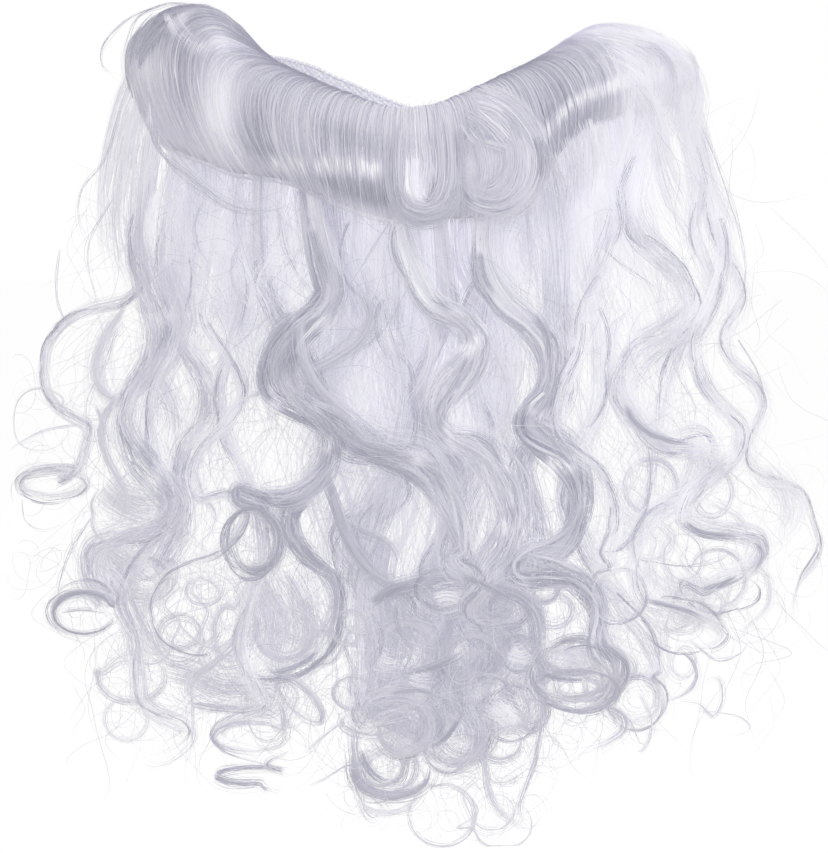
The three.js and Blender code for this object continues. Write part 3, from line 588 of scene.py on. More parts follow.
class Groom:
    """Strands collected into one mesh: flat ribbons that follow the hair."""

    def __init__(self):
        self.verts, self.uvs, self.faces, self.total = [], [], [], 0

    def add(self, points, half, normal, row, u=None):
        """points: strands x n x 3 in mm. u: place along the map, from plain hair, 0 to 0.49, to the painted highlight,
        from 0.5.
        """
        strands, n = points.shape[:2]
        along = unit(np.gradient(points, axis=1))
        side = np.cross(along, normal)
        flat = np.linalg.norm(side, axis=-1, keepdims=True) < 0.05
        side = unit(np.where(flat, np.cross(along, np.array([0.3, -0.8, 0.5])), side))
        half = np.broadcast_to(half, (strands, n))[..., None]
        pair = np.stack([points - side * half, points + side * half], 2)
        self.verts.append(pair.reshape(-1, 3))
        if u is None:
            shift = rng.uniform(0, 0.08, (strands, 1))
            u = shift + np.linspace(0, 0.4, n)[None]
        u = np.broadcast_to(u, (strands, n))
        row = np.asarray(row)
        row = row if row.ndim == 2 else np.broadcast_to(row, (strands,))[:, None]
        lo = (row + 0.08) / ROWS + 0 * u
        hi = (row + 0.92) / ROWS + 0 * u
        self.uvs.append(np.stack([np.stack([u, lo], -1), np.stack([u, hi], -1)], 2).reshape(-1, 2))
        at = self.total + (np.arange(strands)[:, None] * n + np.arange(n - 1)[None]) * 2
        at = at.reshape(-1, 1)
        self.faces.append(np.concatenate([at, at + 1, at + 3, at + 2], 1))
        self.total += strands * n * 2

    def sheet(self, grid, u, v):
        """A quad grid with its own places on the map."""
        nu, nv = grid.shape[:2]
        at = self.total + np.arange(nu * nv).reshape(nu, nv)
        quads = np.stack([at[:-1, :-1], at[1:, :-1], at[1:, 1:], at[:-1, 1:]], -1).reshape(-1, 4)
        self.verts.append(grid.reshape(-1, 3))
        u, v = np.broadcast_to(u, (nu, nv)), np.broadcast_to(v, (nu, nv))
        self.uvs.append(np.stack([u, v], -1).reshape(-1, 2))
        self.faces.append(quads)
        self.total += nu * nv

    def piece(self, name, material, node=None, slot="lock_hair", weld=False):
        verts = np.concatenate(self.verts) / 1000
        faces = np.concatenate(self.faces)
        uvs = np.concatenate(self.uvs)
        me = bpy.data.meshes.new(name)
        me.vertices.add(len(verts))
        me.vertices.foreach_set("co", verts.astype(np.float32).ravel())
        me.loops.add(faces.size)
        me.loops.foreach_set("vertex_index", faces.astype(np.int32).ravel())
        me.polygons.add(len(faces))
        me.polygons.foreach_set("loop_start", (np.arange(len(faces)) * 4).astype(np.int32))
        me.polygons.foreach_set("loop_total", np.full(len(faces), 4, np.int32))
        me.polygons.foreach_set("use_smooth", np.ones(len(faces), bool))
        layer = me.uv_layers.new(name="OFBake")
        layer.data.foreach_set("uv", uvs[faces.ravel()].astype(np.float32).ravel())
        me.update(calc_edges=True)
        me.validate()
        if weld:
            bm = bmesh.new()
            bm.from_mesh(me)
            bmesh.ops.remove_doubles(bm, verts=bm.verts, dist=1e-6)
            bmesh.ops.recalc_face_normals(bm, faces=bm.faces)
            bm.to_mesh(me)
            bm.free()
        me.materials.append(material)
        ob = bpy.data.objects.new(name, me)
        bpy.context.scene.collection.objects.link(ob)
        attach(ob, "root")
        if node:
            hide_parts(node)
        return ob


def tones(count, tone, spread=0.13):
    """Rows of the map for a bunch of strands about one tone."""
    t = np.clip(tone + rng.normal(0, spread, count), 0, 0.999)
    return (t * ROWS).astype(int)


def frames_of(dense):
    """Directions across a path: normal, which starts outward, and side."""
    along = unit(np.gradient(dense, axis=0))
    normal = np.zeros_like(dense)
    n = np.array([0.0, 1.0, 0.0])
    for i, t in enumerate(along):
        n = n - t * float(n @ t)
        n = 0.97 * n / max(1e-9, float(np.linalg.norm(n))) + 0.03 * np.array([0.0, 1.0, 0.0])
        n = n - t * float(n @ t)
        n /= max(1e-9, float(np.linalg.norm(n)))
        normal[i] = n
    return along, normal, np.cross(along, normal)


def pace(dense, step, turn):
    """Where a path needs its points: more in its bends. Also the length along it."""
    seg = np.diff(dense, axis=0)
    ds = np.linalg.norm(seg, axis=1)
    d = unit(seg)
    bend = np.zeros(len(ds))
    bend[1:] = np.degrees(np.arccos(np.clip((d[1:] * d[:-1]).sum(1), -1, 1)))
    cost = np.concatenate([[0], np.cumsum(ds / (step * 2.2) + bend / turn)])
    return cost, np.concatenate([[0], np.cumsum(ds)])


def painted_sheen_at(run, total, lines, jitter):
    """Places on the map for a run of hair with painted highlight lines across it at shares of its length."""
    far = np.min(np.abs(run[..., None] - np.asarray(lines) * total - jitter), -1)
    return 0.5 + 0.5 * far / (far + 40)


def strands_on(groom, dense, count, width, thick, tone, half, loose=0.3, ends=(0.85, 1.0),
               step=9.0, turn=21.0, spread=0.07, facing_jitter=0.16, start=0.0, painted_sheen=(),
               root=0.6, stray=0.5, fade=None):
    """Strands side by side along a path, within its width and thickness."""
    if count < 1:
        return
    along, normal, side = frames_of(dense)
    cost, arc = pace(dense, step, turn)
    n = max(7, int(cost[-1]) + 2)
    m = len(dense) - 1
    stop = np.clip(rng.uniform(*ends, count), 0.05, 1)
    begin = rng.uniform(0, 1, count) ** 2 * start
    grid = begin[:, None] + (stop - begin)[:, None] * np.linspace(0, 1, n)[None]
    u = np.interp(grid.ravel() * cost[-1], cost, np.arange(m + 1) / m).reshape(grid.shape)
    here = sample(np.concatenate([dense, normal, side, arc[:, None]], 1), u)
    p, nn, bb, run = here[..., :3], here[..., 3:6], here[..., 6:9], here[..., 9]
    total = arc[-1]
    a = np.clip(rng.normal(0, stray, count), -1.6, 1.6)
    b = np.clip(rng.normal(0, stray, count), -1.6, 1.6)
    part = run / total
    offset = bb * (a[:, None] * width)[..., None] + nn * (b[:, None] * thick)[..., None]
    grow = ease(part * 3)[..., None]
    sway = wobble(count, run, 1.0, 48.0) * grow * (0.25 + 0.75 * part[..., None])
    q = p + offset + sway * (loose * np.array([1.0, 0.7, 1.0]))
    q[..., 1] = np.maximum(q[..., 1], 2.6)
    q[..., 2] = np.maximum(q[..., 2], -306.0)
    tilt = rng.normal(0, facing_jitter, count)
    face = nn * np.cos(tilt)[:, None, None] + bb * np.sin(tilt + a * 0.5)[:, None, None]
    place = drape(q)
    facing = unit(drape(q + face * 0.4) - place)
    taper = np.interp(np.linspace(0, 1, n), [0, 0.07, 0.6, 1], [root, 1, 0.95, 0.22])
    width_of = half * taper[None] * rng.uniform(0.75, 1.2, (count, 1))
    where = None
    if len(painted_sheen):
        where = painted_sheen_at(run, total, painted_sheen, rng.normal(0, 1.5, (count, 1, 1)))
    rows = tones(count, tone, spread)
    if fade:
        rows = np.clip(rows[:, None] + fade(part) * ROWS, 0, ROWS - 1).astype(int)
    groom.add(place, width_of, facing, rows, where)


def tube(groom, dense, width, thick, tone, body=((0, 0.1, 0.72, 0.97), (0.7, 1, 0.8, 0.03)),
         painted_sheen=(), sides=10, rows=4.0, step=13.0, turn=19.0, begin=0.0, stop=0.97, fade=None):
    """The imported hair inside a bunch: one closed, tapering body with fine streaks along it."""
    along, normal, side = frames_of(dense)
    cost, arc = pace(dense, step, turn)
    m = len(dense) - 1
    c0, c1 = np.interp([begin * arc[-1], stop * arc[-1]], arc, cost)
    n = max(8, int(c1 - c0) + 3)
    u = np.interp(np.linspace(c0, c1, n), cost, np.arange(m + 1) / m)
    here = sample(np.concatenate([dense, normal, side, arc[:, None]], 1), u)
    p, nn, bb, run = here[:, None, :3], here[:, None, 3:6], here[:, None, 6:9], here[:, 9]
    size = np.interp(run / arc[-1], *body)[:, None, None]
    phi = np.linspace(0, 2 * math.pi, sides + 1)[None, :, None]
    q = p + bb * np.cos(phi) * width * size + nn * np.sin(phi) * thick * size
    q[..., 1] = np.maximum(q[..., 1], 2.6)
    q[..., 2] = np.maximum(q[..., 2], -305.0)
    streak = rng.uniform(-0.5, 0.5, sides) * rows
    streak = np.append(streak, streak[0])[None]
    level = np.full((len(run), 1), tone)
    if fade:
        level = level + fade(run / arc[-1])[:, None]
    v = np.clip((np.clip(level, 0.02, 0.98) * ROWS + streak) / ROWS, 0.003, 0.997)
    if len(painted_sheen):
        where = painted_sheen_at(run, arc[-1], painted_sheen, 0.0)[:, None]
    else:
        where = (rng.uniform(0, 0.08) + 0.4 * run / arc[-1])[:, None]
    groom.sheet(drape(q), where, v)


def bends(dense, least=0.012, apart=16.0):
    """The sharp bends of a path as seen from the front: place, and which side is the outer one."""
    flat = dense[:, [0, 2]]
    ds = np.linalg.norm(np.diff(flat, axis=0), axis=1).mean()
    reach = max(2, int(7.0 / ds))
    pad = np.vstack([np.repeat(flat[:1], reach, 0), flat, np.repeat(flat[-1:], reach, 0)])
    smooth = np.stack([np.convolve(pad[:, k], np.ones(2 * reach + 1) / (2 * reach + 1), "valid") for k in (0, 1)], 1)
    first = np.gradient(smooth, axis=0) / ds
    second = np.gradient(first, axis=0) / ds
    size = np.linalg.norm(second, axis=1)
    found = []
    order = np.argsort(-size)
    for i in order:
        if size[i] < least or i * ds < 20 or (len(flat) - i) * ds < 12:
            continue
        if all(abs(i - j) * ds > apart for j, _ in found):
            out = np.array([-second[i, 0], 0.0, -second[i, 1]]) / size[i]
            found.append((i, out))
    return found, ds


def patchy(long, amount, base=None):
    """Light and dark lengths of one bunch: a change of tone by share of its length."""
    a, b = rng.uniform(0, 6.28, 2)
    la, lb = rng.uniform(38, 62), rng.uniform(18, 28)

    def tone(s):
        wave = 0.65 * np.sin(2 * math.pi * s * long / la + a) + 0.35 * np.sin(2 * math.pi * s * long / lb + b)
        return amount * wave + (base(s) if base else 0)

    return tone


def lock(groom, items, out0, out1, width, thick, count, tone, fray=4.0, painted_sheen=(), fade=None, solid=True, marks=9):
    """A lock: one body at its root, bunches that part towards their ends, hairs that stand off, and dark strands of
    painted shade along its turns.
    """
    dense = path(items, out0, out1)
    along, normal, side = frames_of(dense)
    step = np.linalg.norm(np.diff(dense, axis=0), axis=1)
    run = np.concatenate([[0], np.cumsum(step)])
    part = run / run[-1]
    hanks = int(np.clip(round(width / 1.5), 2, 5))
    if not solid:
        width, thick = width * 1.15, thick * 1.1
    body = np.interp(part, [0, 0.1, 0.7, 1], [0.75, 1, 0.85, 0.5])
    if solid:
        tube(groom, dense, width * 0.42, thick * 0.55, tone, ((0, 0.1, 0.5, 0.82), (0.75, 1, 0.75, 0.05)),
             painted_sheen=painted_sheen, sides=12, rows=7.0, stop=0.82, fade=fade)
    for j in range(hanks):
        place = (j + 0.5) / hanks * 2 - 1
        across = place * width * 0.66 * body
        lift = rng.uniform(-0.6, 0.6) * thick * body
        wave = rng.uniform(45, 80)
        across = across + 0.34 * width * np.sin(run * 2 * math.pi / wave + rng.uniform(0, 6.28)) * ease(part * 3)
        out = ease((part - 0.55) / 0.45)
        across = across + rng.normal(0, fray * 0.5) * out
        lift = lift + rng.normal(0, fray * 0.4) * out
        sub = dense + side * across[:, None] + normal * lift[:, None]
        stop = rng.uniform(0.86, 1.0)
        shade = tone + rng.normal(0, 0.09)
        own = patchy(run[-1], 0.2, fade)
        if solid:
            tube(groom, sub, width / hanks * 0.62, thick * 0.4, shade,
                 ((0, 0.1, 0.7, stop - 0.05), (0.6, 1, 0.8, 0.05)), painted_sheen=painted_sheen, sides=7, rows=6.0, stop=stop - 0.05,
                 fade=own)
        strands_on(groom, sub, round(count * 0.17 / hanks), width / hanks * 1.3 + 0.2, thick * 0.6,
                   shade, 0.17, loose=0.3, ends=(stop - 0.1, stop), painted_sheen=painted_sheen, spread=0.08, turn=23, fade=own)
        strands_on(groom, sub, round(count * 0.66 / hanks), width / hanks * 2.0 + 0.8, thick * 1.0,
                   shade + 0.05, 0.075, loose=0.95, ends=(stop - 0.25, stop), start=0.1, painted_sheen=painted_sheen, spread=0.17,
                   turn=27, fade=own)
    strands_on(groom, dense, max(8, round(count * 0.3)), width * 1.8, thick * 1.7, min(0.85, tone + 0.12), 0.06,
               loose=2.2, ends=(0.5, 1.0), start=0.4, spread=0.3, turn=28)
    # painted shade: dark strands along the outside of each turn, where the hair lies thickest
    found, ds = bends(dense)
    for i, out in found:
        half_run = rng.uniform(11, 20)
        i0, i1 = max(0, int(i - half_run / ds)), min(len(dense) - 1, int(i + half_run / ds))
        if i1 - i0 < 8:
            continue
        grip = np.sin(np.pi * np.linspace(0, 1, i1 - i0 + 1)) ** 0.5
        shift = out[None] * (width * body[i0 : i1 + 1] * 0.72 * grip)[:, None]
        edge = dense[i0 : i1 + 1] + shift + normal[i0 : i1 + 1] * thick * 0.5
        strands_on(groom, edge, marks, width * 0.18 + 0.3, 0.7, 0.03, 0.11, loose=0.25, ends=(0.6, 1), start=0.6,
                   root=0.1, spread=0.06)


# ------------------------------------------------------------------ materials
def hair_material(name, deep, dark, pale, rough, anisotropic, painted_glow):
    """Silky fibre: tone by row, fine hairs across the row, and a painted highlight line with painted shade beside it
    past the middle of the map.
    """
    m = bpy.data.materials.new(name)
    m.use_nodes = True
    nodes, links = m.node_tree.nodes, m.node_tree.links
    nodes.clear()

    def math_node(kind, a, b=None, clamp=False):
        node = nodes.new("ShaderNodeMath")
        node.operation = kind
        node.use_clamp = clamp
        for slot, value in zip(node.inputs, (a, b)):
            if value is None:
                continue
            if isinstance(value, (int, float)):
                slot.default_value = value
            else:
                links.new(value, slot)
        return node.outputs[0]

    out = nodes.new("ShaderNodeOutputMaterial")
    bsdf = nodes.new("ShaderNodeBsdfPrincipled")
    links.new(bsdf.outputs["BSDF"], out.inputs["Surface"])
    uv = nodes.new("ShaderNodeUVMap")
    uv.uv_map = "OFBake"
    parts = nodes.new("ShaderNodeSeparateXYZ")
    links.new(uv.outputs["UV"], parts.inputs[0])
    u, v = parts.outputs["X"], parts.outputs["Y"]
    level = math_node("DIVIDE", math_node("FLOOR", math_node("MULTIPLY", v, ROWS)), ROWS - 1)
    # fine hairs: quick change across, slow change along
    noise = nodes.new("ShaderNodeTexNoise")
    noise.noise_dimensions = "2D"
    noise.inputs["Scale"].default_value = 1.0
    noise.inputs["Detail"].default_value = 2.0
    noise.inputs["Roughness"].default_value = 0.6
    place = nodes.new("ShaderNodeCombineXYZ")
    links.new(math_node("MULTIPLY", u, 16.0), place.inputs["X"])
    links.new(math_node("MULTIPLY", v, ROWS * LINES), place.inputs["Y"])
    links.new(place.outputs[0], noise.inputs["Vector"])
    vary = nodes.new("ShaderNodeMapRange")
    vary.inputs["From Min"].default_value = 0.25
    vary.inputs["From Max"].default_value = 0.75
    vary.inputs["To Min"].default_value = -0.18
    vary.inputs["To Max"].default_value = 0.21
    links.new(noise.outputs["Fac"], vary.inputs["Value"])
    # painted highlight: bright at the line, with painted shade on either side
    ramp = nodes.new("ShaderNodeValToRGB")
    stops = [(0.0, 0.5), (0.496, 0.5), (0.504, 1.0), (0.514, 0.98), (0.534, 0.5), (0.552, 0.24), (0.60, 0.26),
             (0.69, 0.47), (0.8, 0.5), (1.0, 0.5)]
    marks = ramp.color_ramp.elements
    while len(marks) < len(stops):
        marks.new(0.5)
    for mark, (at, grey) in zip(marks, stops):
        mark.position = at
        mark.color = (grey, grey, grey, 1)
    links.new(u, ramp.inputs["Fac"])
    painted_sheen = math_node("MULTIPLY", math_node("SUBTRACT", ramp.outputs["Color"], 0.5), 1.0)
    tone = math_node("ADD", math_node("ADD", level, vary.outputs[0]), painted_sheen, clamp=True)
    shades = nodes.new("ShaderNodeValToRGB")
    stops = shades.color_ramp.elements
    stops.new(0.07)
    for stop, at, colour in zip(stops, (0.0, 0.07, 1.0), (deep, dark, pale)):
        stop.position = at
        stop.color = (*colour, 1)
    links.new(tone, shades.inputs["Fac"])
    links.new(shades.outputs["Color"], bsdf.inputs["Base Color"])
    bsdf.inputs["Roughness"].default_value = rough
    bsdf.inputs["IOR"].default_value = 1.5
    # painted light: emission that stands in for light passing through the thin pale hair
    bsdf.inputs["Emission Color"].default_value = (0.96, 0.955, 1.0, 1)
    bsdf.inputs["Emission Strength"].default_value = painted_glow
    bsdf.inputs["Anisotropic"].default_value = anisotropic
    bsdf.inputs["Anisotropic Rotation"].default_value = 0.25
    tangent = nodes.new("ShaderNodeTangent")
    tangent.direction_type = "UV_MAP"
    tangent.uv_map = "OFBake"
    links.new(tangent.outputs[0], bsdf.inputs["Tangent"])
    return m


# the last number of each is an emission, painted light that stands in for light through the hair
SILK = hair_material("silk_hair", (0.40, 0.394, 0.488), (0.5, 0.489, 0.59), (0.96, 0.955, 0.982), 0.32, 0.8, 0.1)
FUZZ = hair_material("fuzz_hair", (0.66, 0.656, 0.70), (0.745, 0.741, 0.77), (0.965, 0.965, 0.962), 0.5, 0.6, 0.19)


# ------------------------------------------------------------------ the roll
def roll_at(x, angle, inset):
    """A point of the roll: x on the band, angle round its section, depth under its surface."""
    x = np.where(x < -94, -94 - 7.6 * np.tanh((-94 - x) / 7.6), x)
    x = np.where(x > 94, 94 + 7.6 * np.tanh((x - 94) / 7.6), x)
    beyond = np.clip((np.abs(x) - BAND_HALF) / 4.6, 0, 0.97)
    shrink = np.sqrt(1 - beyond * beyond)
    crest, tip = station(x, CREST), station(x, TIP)
    reach = station(x, REACH) * (0.7 + 0.3 * shrink)
    tall = (crest - tip) / 1.707 * shrink
    middle = (crest + tip) / 2 + (crest - tall - (crest + tip) / 2) * shrink
    under = np.maximum(0, angle - 225)
    across = np.maximum(1.5, reach * 0.58 - inset)
    high = np.maximum(1.5, tall - inset)
    a = np.radians(np.minimum(angle, 225))
    out = reach * 0.42 - across * np.cos(a)
    z = middle + high * np.sin(a)
    # past the lower edge the ends turn in on a smaller circle
    b = np.radians(under)
    small = 7.0
    out = out - small * np.sin(b) * 0.8 - small * (1 - np.cos(b)) * 0.35
    z = z - small * np.sin(b) * 0.55 + small * (1 - np.cos(b)) * 0.9
    return from_band(x, np.maximum(NET + 0.4, out), z)


def painted_highlight_distance(x, angle, jitter):
    """Distance, in mm, from the nearest painted highlight line of the roll and from the painted ridge highlight."""
    one = np.abs(angle - np.interp(x, PAINTED_HIGHLIGHT_LINES[:, 0], PAINTED_HIGHLIGHT_LINES[:, 1]) - jitter) * 0.42
    two = np.abs(angle - np.interp(x, PAINTED_RIDGE_HIGHLIGHT[:, 0], PAINTED_RIDGE_HIGHLIGHT[:, 1]) - jitter) * 0.5
    return one, two


def turned(x, angle):
    """Painted light and shade of the combed surface at x on the band and an angle, as a change of tone."""
    change = 0 * x
    for cx, ca, rx, ra, amount in PAINTED_LIGHT_AND_SHADE:
        change = change + amount * np.exp(-(((x - cx) / rx) ** 2) - ((angle - ca) / ra) ** 2)
    return change


def flow(x0, t):
    """Where a hair of the roll that leaves the band at x0 lies across, at t from crest to lower edge."""
    early = np.interp(np.abs(x0), [50, 80], [0, 1])
    swing = np.sin(np.pi * np.clip((t - 0.1 * (1 - early)) / (1 - 0.1 * (1 - early)), 0, 1) ** (0.85 - 0.3 * early))
    return x0 + station(x0, LEAN) * t**1.25 + station(x0, BOW) * swing


def combed(span, groom, count, half, deepest, spread, over, n=24):
    """Hair laid from the band over the roll, side by side, its ends turned in under the edge."""
    lo, hi = span
    x0 = rng.uniform(lo, hi, count)
    t = np.linspace(0, 1, n)[None]
    tuft = np.sin(x0 * 1.9 + 2 * np.sin(x0 * 0.37)) + 0.6 * np.sin(x0 * 4.3 + 1)
    stop = 228 + rng.uniform(-10, over, count) + 7 * tuft
    start = 50 + rng.uniform(0, 8, count)
    angle = start[:, None] + (stop - start)[:, None] * t
    x = flow(x0[:, None], t)
    x = x + (0.5 * tuft[:, None] + rng.normal(0, 0.6, (count, 1))) * t
    inset = (rng.uniform(0, 1, count) ** 1.5 * deepest - 0.5)[:, None] + 0.15 * tuft[:, None] * np.sin(np.pi * t)
    inset = inset + 0.12 * np.sin(t * 9 + rng.uniform(0, 6.28, (count, 1)))
    p = roll_at(x, angle, inset)
    q = roll_at(x, angle, inset - 1.0)
    facing = unit(q - p)
    across = unit(np.cross(np.gradient(p, axis=1), facing))
    facing = unit(facing + across * rng.normal(0, 0.035, (count, 1, 1)))
    taper = np.interp(t[0], [0, 0.08, 0.8, 1], [0.8, 1, 0.9, 0.3])
    tone = station(x0, TONE_AND_SHADE) + 0.035 * tuft + rng.normal(0, spread, count)
    tone = tone + 0.6 * (rng.uniform(0, 1, count) < 0.012)
    # tone of the hair with painted light and shade from the table of turns
    rows = (np.clip(tone[:, None] + turned(x, angle), 0, 0.999) * ROWS).astype(int)
    # painted highlight lines, with painted shade beside them
    one, two = painted_highlight_distance(x, angle, (rng.normal(0, 1.6, count) + 1.2 * tuft)[:, None])
    luck = rng.uniform(0, 1, (count, 1))
    one = one + 70 * (luck > np.interp(x, PAINTED_HIGHLIGHT_LINES[:, 0], PAINTED_HIGHLIGHT_LINES[:, 2]))
    two = two + 70 * (luck > np.interp(x, PAINTED_RIDGE_HIGHLIGHT[:, 0], PAINTED_RIDGE_HIGHLIGHT[:, 2]))
    far = np.minimum(one, two)
    u = 0.5 + 0.5 * far / (far + 40)
    groom.add(p, half * taper[None] * rng.uniform(0.8, 1.2, (count, 1)), facing, rows, u)


def stand_off(span, groom, count, n=16):
    """Single hairs that lift off the combed surface and blur its outline."""
    lo, hi = span
    x0 = rng.uniform(lo, hi, (count, 1))
    t = np.linspace(0, 1, n)[None]
    start = rng.uniform(50, 170, (count, 1))
    angle = start + rng.uniform(30, 110, (count, 1)) * t
    share = np.clip((angle - 50) / 178, 0, 1)
    x = flow(x0, share) + rng.normal(0, 2.2, (count, 1)) * t
    lift = rng.uniform(0.3, 2.4, (count, 1)) * np.sin(np.pi * t) ** 0.8 + 0.4
    p = roll_at(x, angle, -lift)
    facing = unit(roll_at(x, angle, -lift - 1.0) - p)
    taper = np.interp(t[0], [0, 0.2, 0.8, 1], [0.2, 1, 0.9, 0.2])
    tone = station(x0[:, 0], TONE_AND_SHADE) + rng.normal(0.05, 0.25, count)
    rows = (np.clip(tone, 0, 0.999) * ROWS).astype(int)
    groom.add(p, 0.07 * taper[None] * rng.uniform(0.8, 1.2, (count, 1)), facing, rows)


def roll_core(span, groom):
    """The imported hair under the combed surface: a closed shell with fine streaks down it."""
    lo, hi = span
    nu, nv = max(12, int((hi - lo) * 1.3)), 20
    x0 = np.linspace(lo, hi, nu)[:, None]
    t = np.linspace(0, 1, nv)[None]
    angle = 52 + (224 - 52) * t + 0 * x0
    at = flow(x0, t)
    deep = 0.7 + 2.6 * ease((np.abs(x0) - 84) / 14) * (x0 > 0) + 1.2 * ease((np.abs(x0) - 88) / 10) * (x0 < 0)
    outer = roll_at(at, angle, deep + 0 * angle)
    inner = roll_at(at, angle, deep + 1.5 + 0 * angle)
    loop = np.concatenate([outer, inner[:, ::-1], outer[:, :1]], 1)
    # painted highlight lines, with painted shade beside them
    one, two = painted_highlight_distance(at, angle, 0.0)
    one = one + 70 * (1 - np.interp(at, PAINTED_HIGHLIGHT_LINES[:, 0], PAINTED_HIGHLIGHT_LINES[:, 2]))
    two = two + 70 * (1 - np.interp(at, PAINTED_RIDGE_HIGHLIGHT[:, 0], PAINTED_RIDGE_HIGHLIGHT[:, 2]))
    far = np.minimum(one, two)
    u = 0.5 + 0.5 * far / (far + 40)
    # tone with painted light and shade
    v = np.clip((station(x0, TONE_AND_SHADE) + turned(at, angle)) * ROWS + rng.uniform(-1.5, 1.5, (nu, 1)), 0.2, ROWS - 0.2) / ROWS
    groom.sheet(loop, np.concatenate([u, u[:, ::-1], u[:, :1]], 1), np.concatenate([v, v[:, ::-1], v[:, :1]], 1))
    for end in (0, -1):
        cap = np.stack([outer[end], inner[end]], 0)
        groom.sheet(cap, np.stack([u[end], u[end]]), np.stack([v[end], v[end] + 0.02]))


for name, span in ROLL.items():
    groom = Groom()
    wide = span[1] - span[0]
    roll_core(span, groom)
    combed(span, groom, int(wide * 3.0), 0.36, 0.6, 0.022, 10)
    combed(span, groom, int(wide * 7.4), 0.085, 0.8, 0.095, 50, n=18)
    stand_off(span, groom, int(wide * 1.3))
    groom.piece("strands_" + name, SILK, node=name, slot="roll_hair")

# ------------------------------------------------------------------ the locks
# where a lock catches the light as it turns, as seen from the front
GLINTS = {
    "left_outer": ["152,312", "140,470"],
    "left_inner": ["204,372", "184,486"],
    "left_dark": ["316,332", "300,404", "392,456"],
    "left_ring": ["318,318", "322,446", "262,500"],
    "left_loop": ["322,400", "332,578"],
    "centre_left": ["366,316", "346,424", "360,566"],
    "centre_s": ["470,346", "448,440", "504,508"],
    "centre_back": ["440,330", "440,452"],
    "right_centre": ["534,396", "570,452", "548,574"],
    "right_back": ["560,330", "530,448"],
    "right_pale": ["612,250", "576,452"],
    "right": ["656,256", "640,352", "700,445", "690,610"],
    "right_outer": ["704,350", "738,432", "708,532"],
    "bottom_centre": ["388,330", "372,520"],
    "bottom_mid": ["476,330", "470,500"],
}


# change of tone from the middle of a lock to its tip
TIPS = {"left_dark": 0.16, "bottom_centre": -0.06, "left_ring": -0.32, "left_loop": 0.02, "centre_left": -0.08, "centre_s": -0.1, "right_centre": 0.25,
        "right_back": 0.06, "bottom_mid": -0.06, "right": 0.12}


def shares_of(items, out, words):
    """Shares of a path's length nearest to places seen from the front."""
    dense = path(items, out, out)
    found = []
    for word in words:
        px, py = (np.array([float(v)]) for v in word.split(","))
        spot = seen(px, py, np.array([float(out)]))[0]
        found.append(float(np.argmin(np.hypot(dense[:, 0] - spot[0], dense[:, 2] - spot[2]))) / (len(dense) - 1))
    return tuple(found)


for name, (width, thick, out0, out1, count, tone, items) in LOCKS.items():
    groom = Groom()
    rise = max(0.0, (0.5 if name == "left_dark" else 0.78) - tone) * 0.8
    tip = TIPS.get(name, 0.0)
    lock(groom, items, out0, out1, width, thick, count, tone, painted_sheen=shares_of(items, out1, GLINTS.get(name, ())),
         fade=lambda s: rise * (1 - ease(s / 0.3)) + tip * ease((s - 0.55) / 0.3), solid=tone < 0.6 or name == "centre_back",
         marks=14 if tone < 0.6 else 9)
    groom.piece("strands_lock_" + name, SILK, node="lock_" + name)


def dome(groom, cx, cy, rx, ry, out, high, edge, middle, rows=3):
    """A rounded pad of coiled hair, as seen from the front, paler at its middle."""
    r = np.linspace(1, 0.02, 9)[None]
    a = np.linspace(0, 2 * math.pi, 29)[:, None]
    px, py = cx + rx * r * np.cos(a), cy + ry * r * np.sin(a)
    p = drape(seen(px, py, out + high * (1 - r * r) + 0 * a))
    tone = middle + (edge - middle) * r**1.5
    v = np.clip(tone * ROWS + rng.uniform(-0.5, 0.5, (29, 1)) * rows, 0.2, ROWS - 0.2) / ROWS
    v[-1] = v[0]
    groom.sheet(p, 0.05 + 0.4 * r + 0 * a, v)


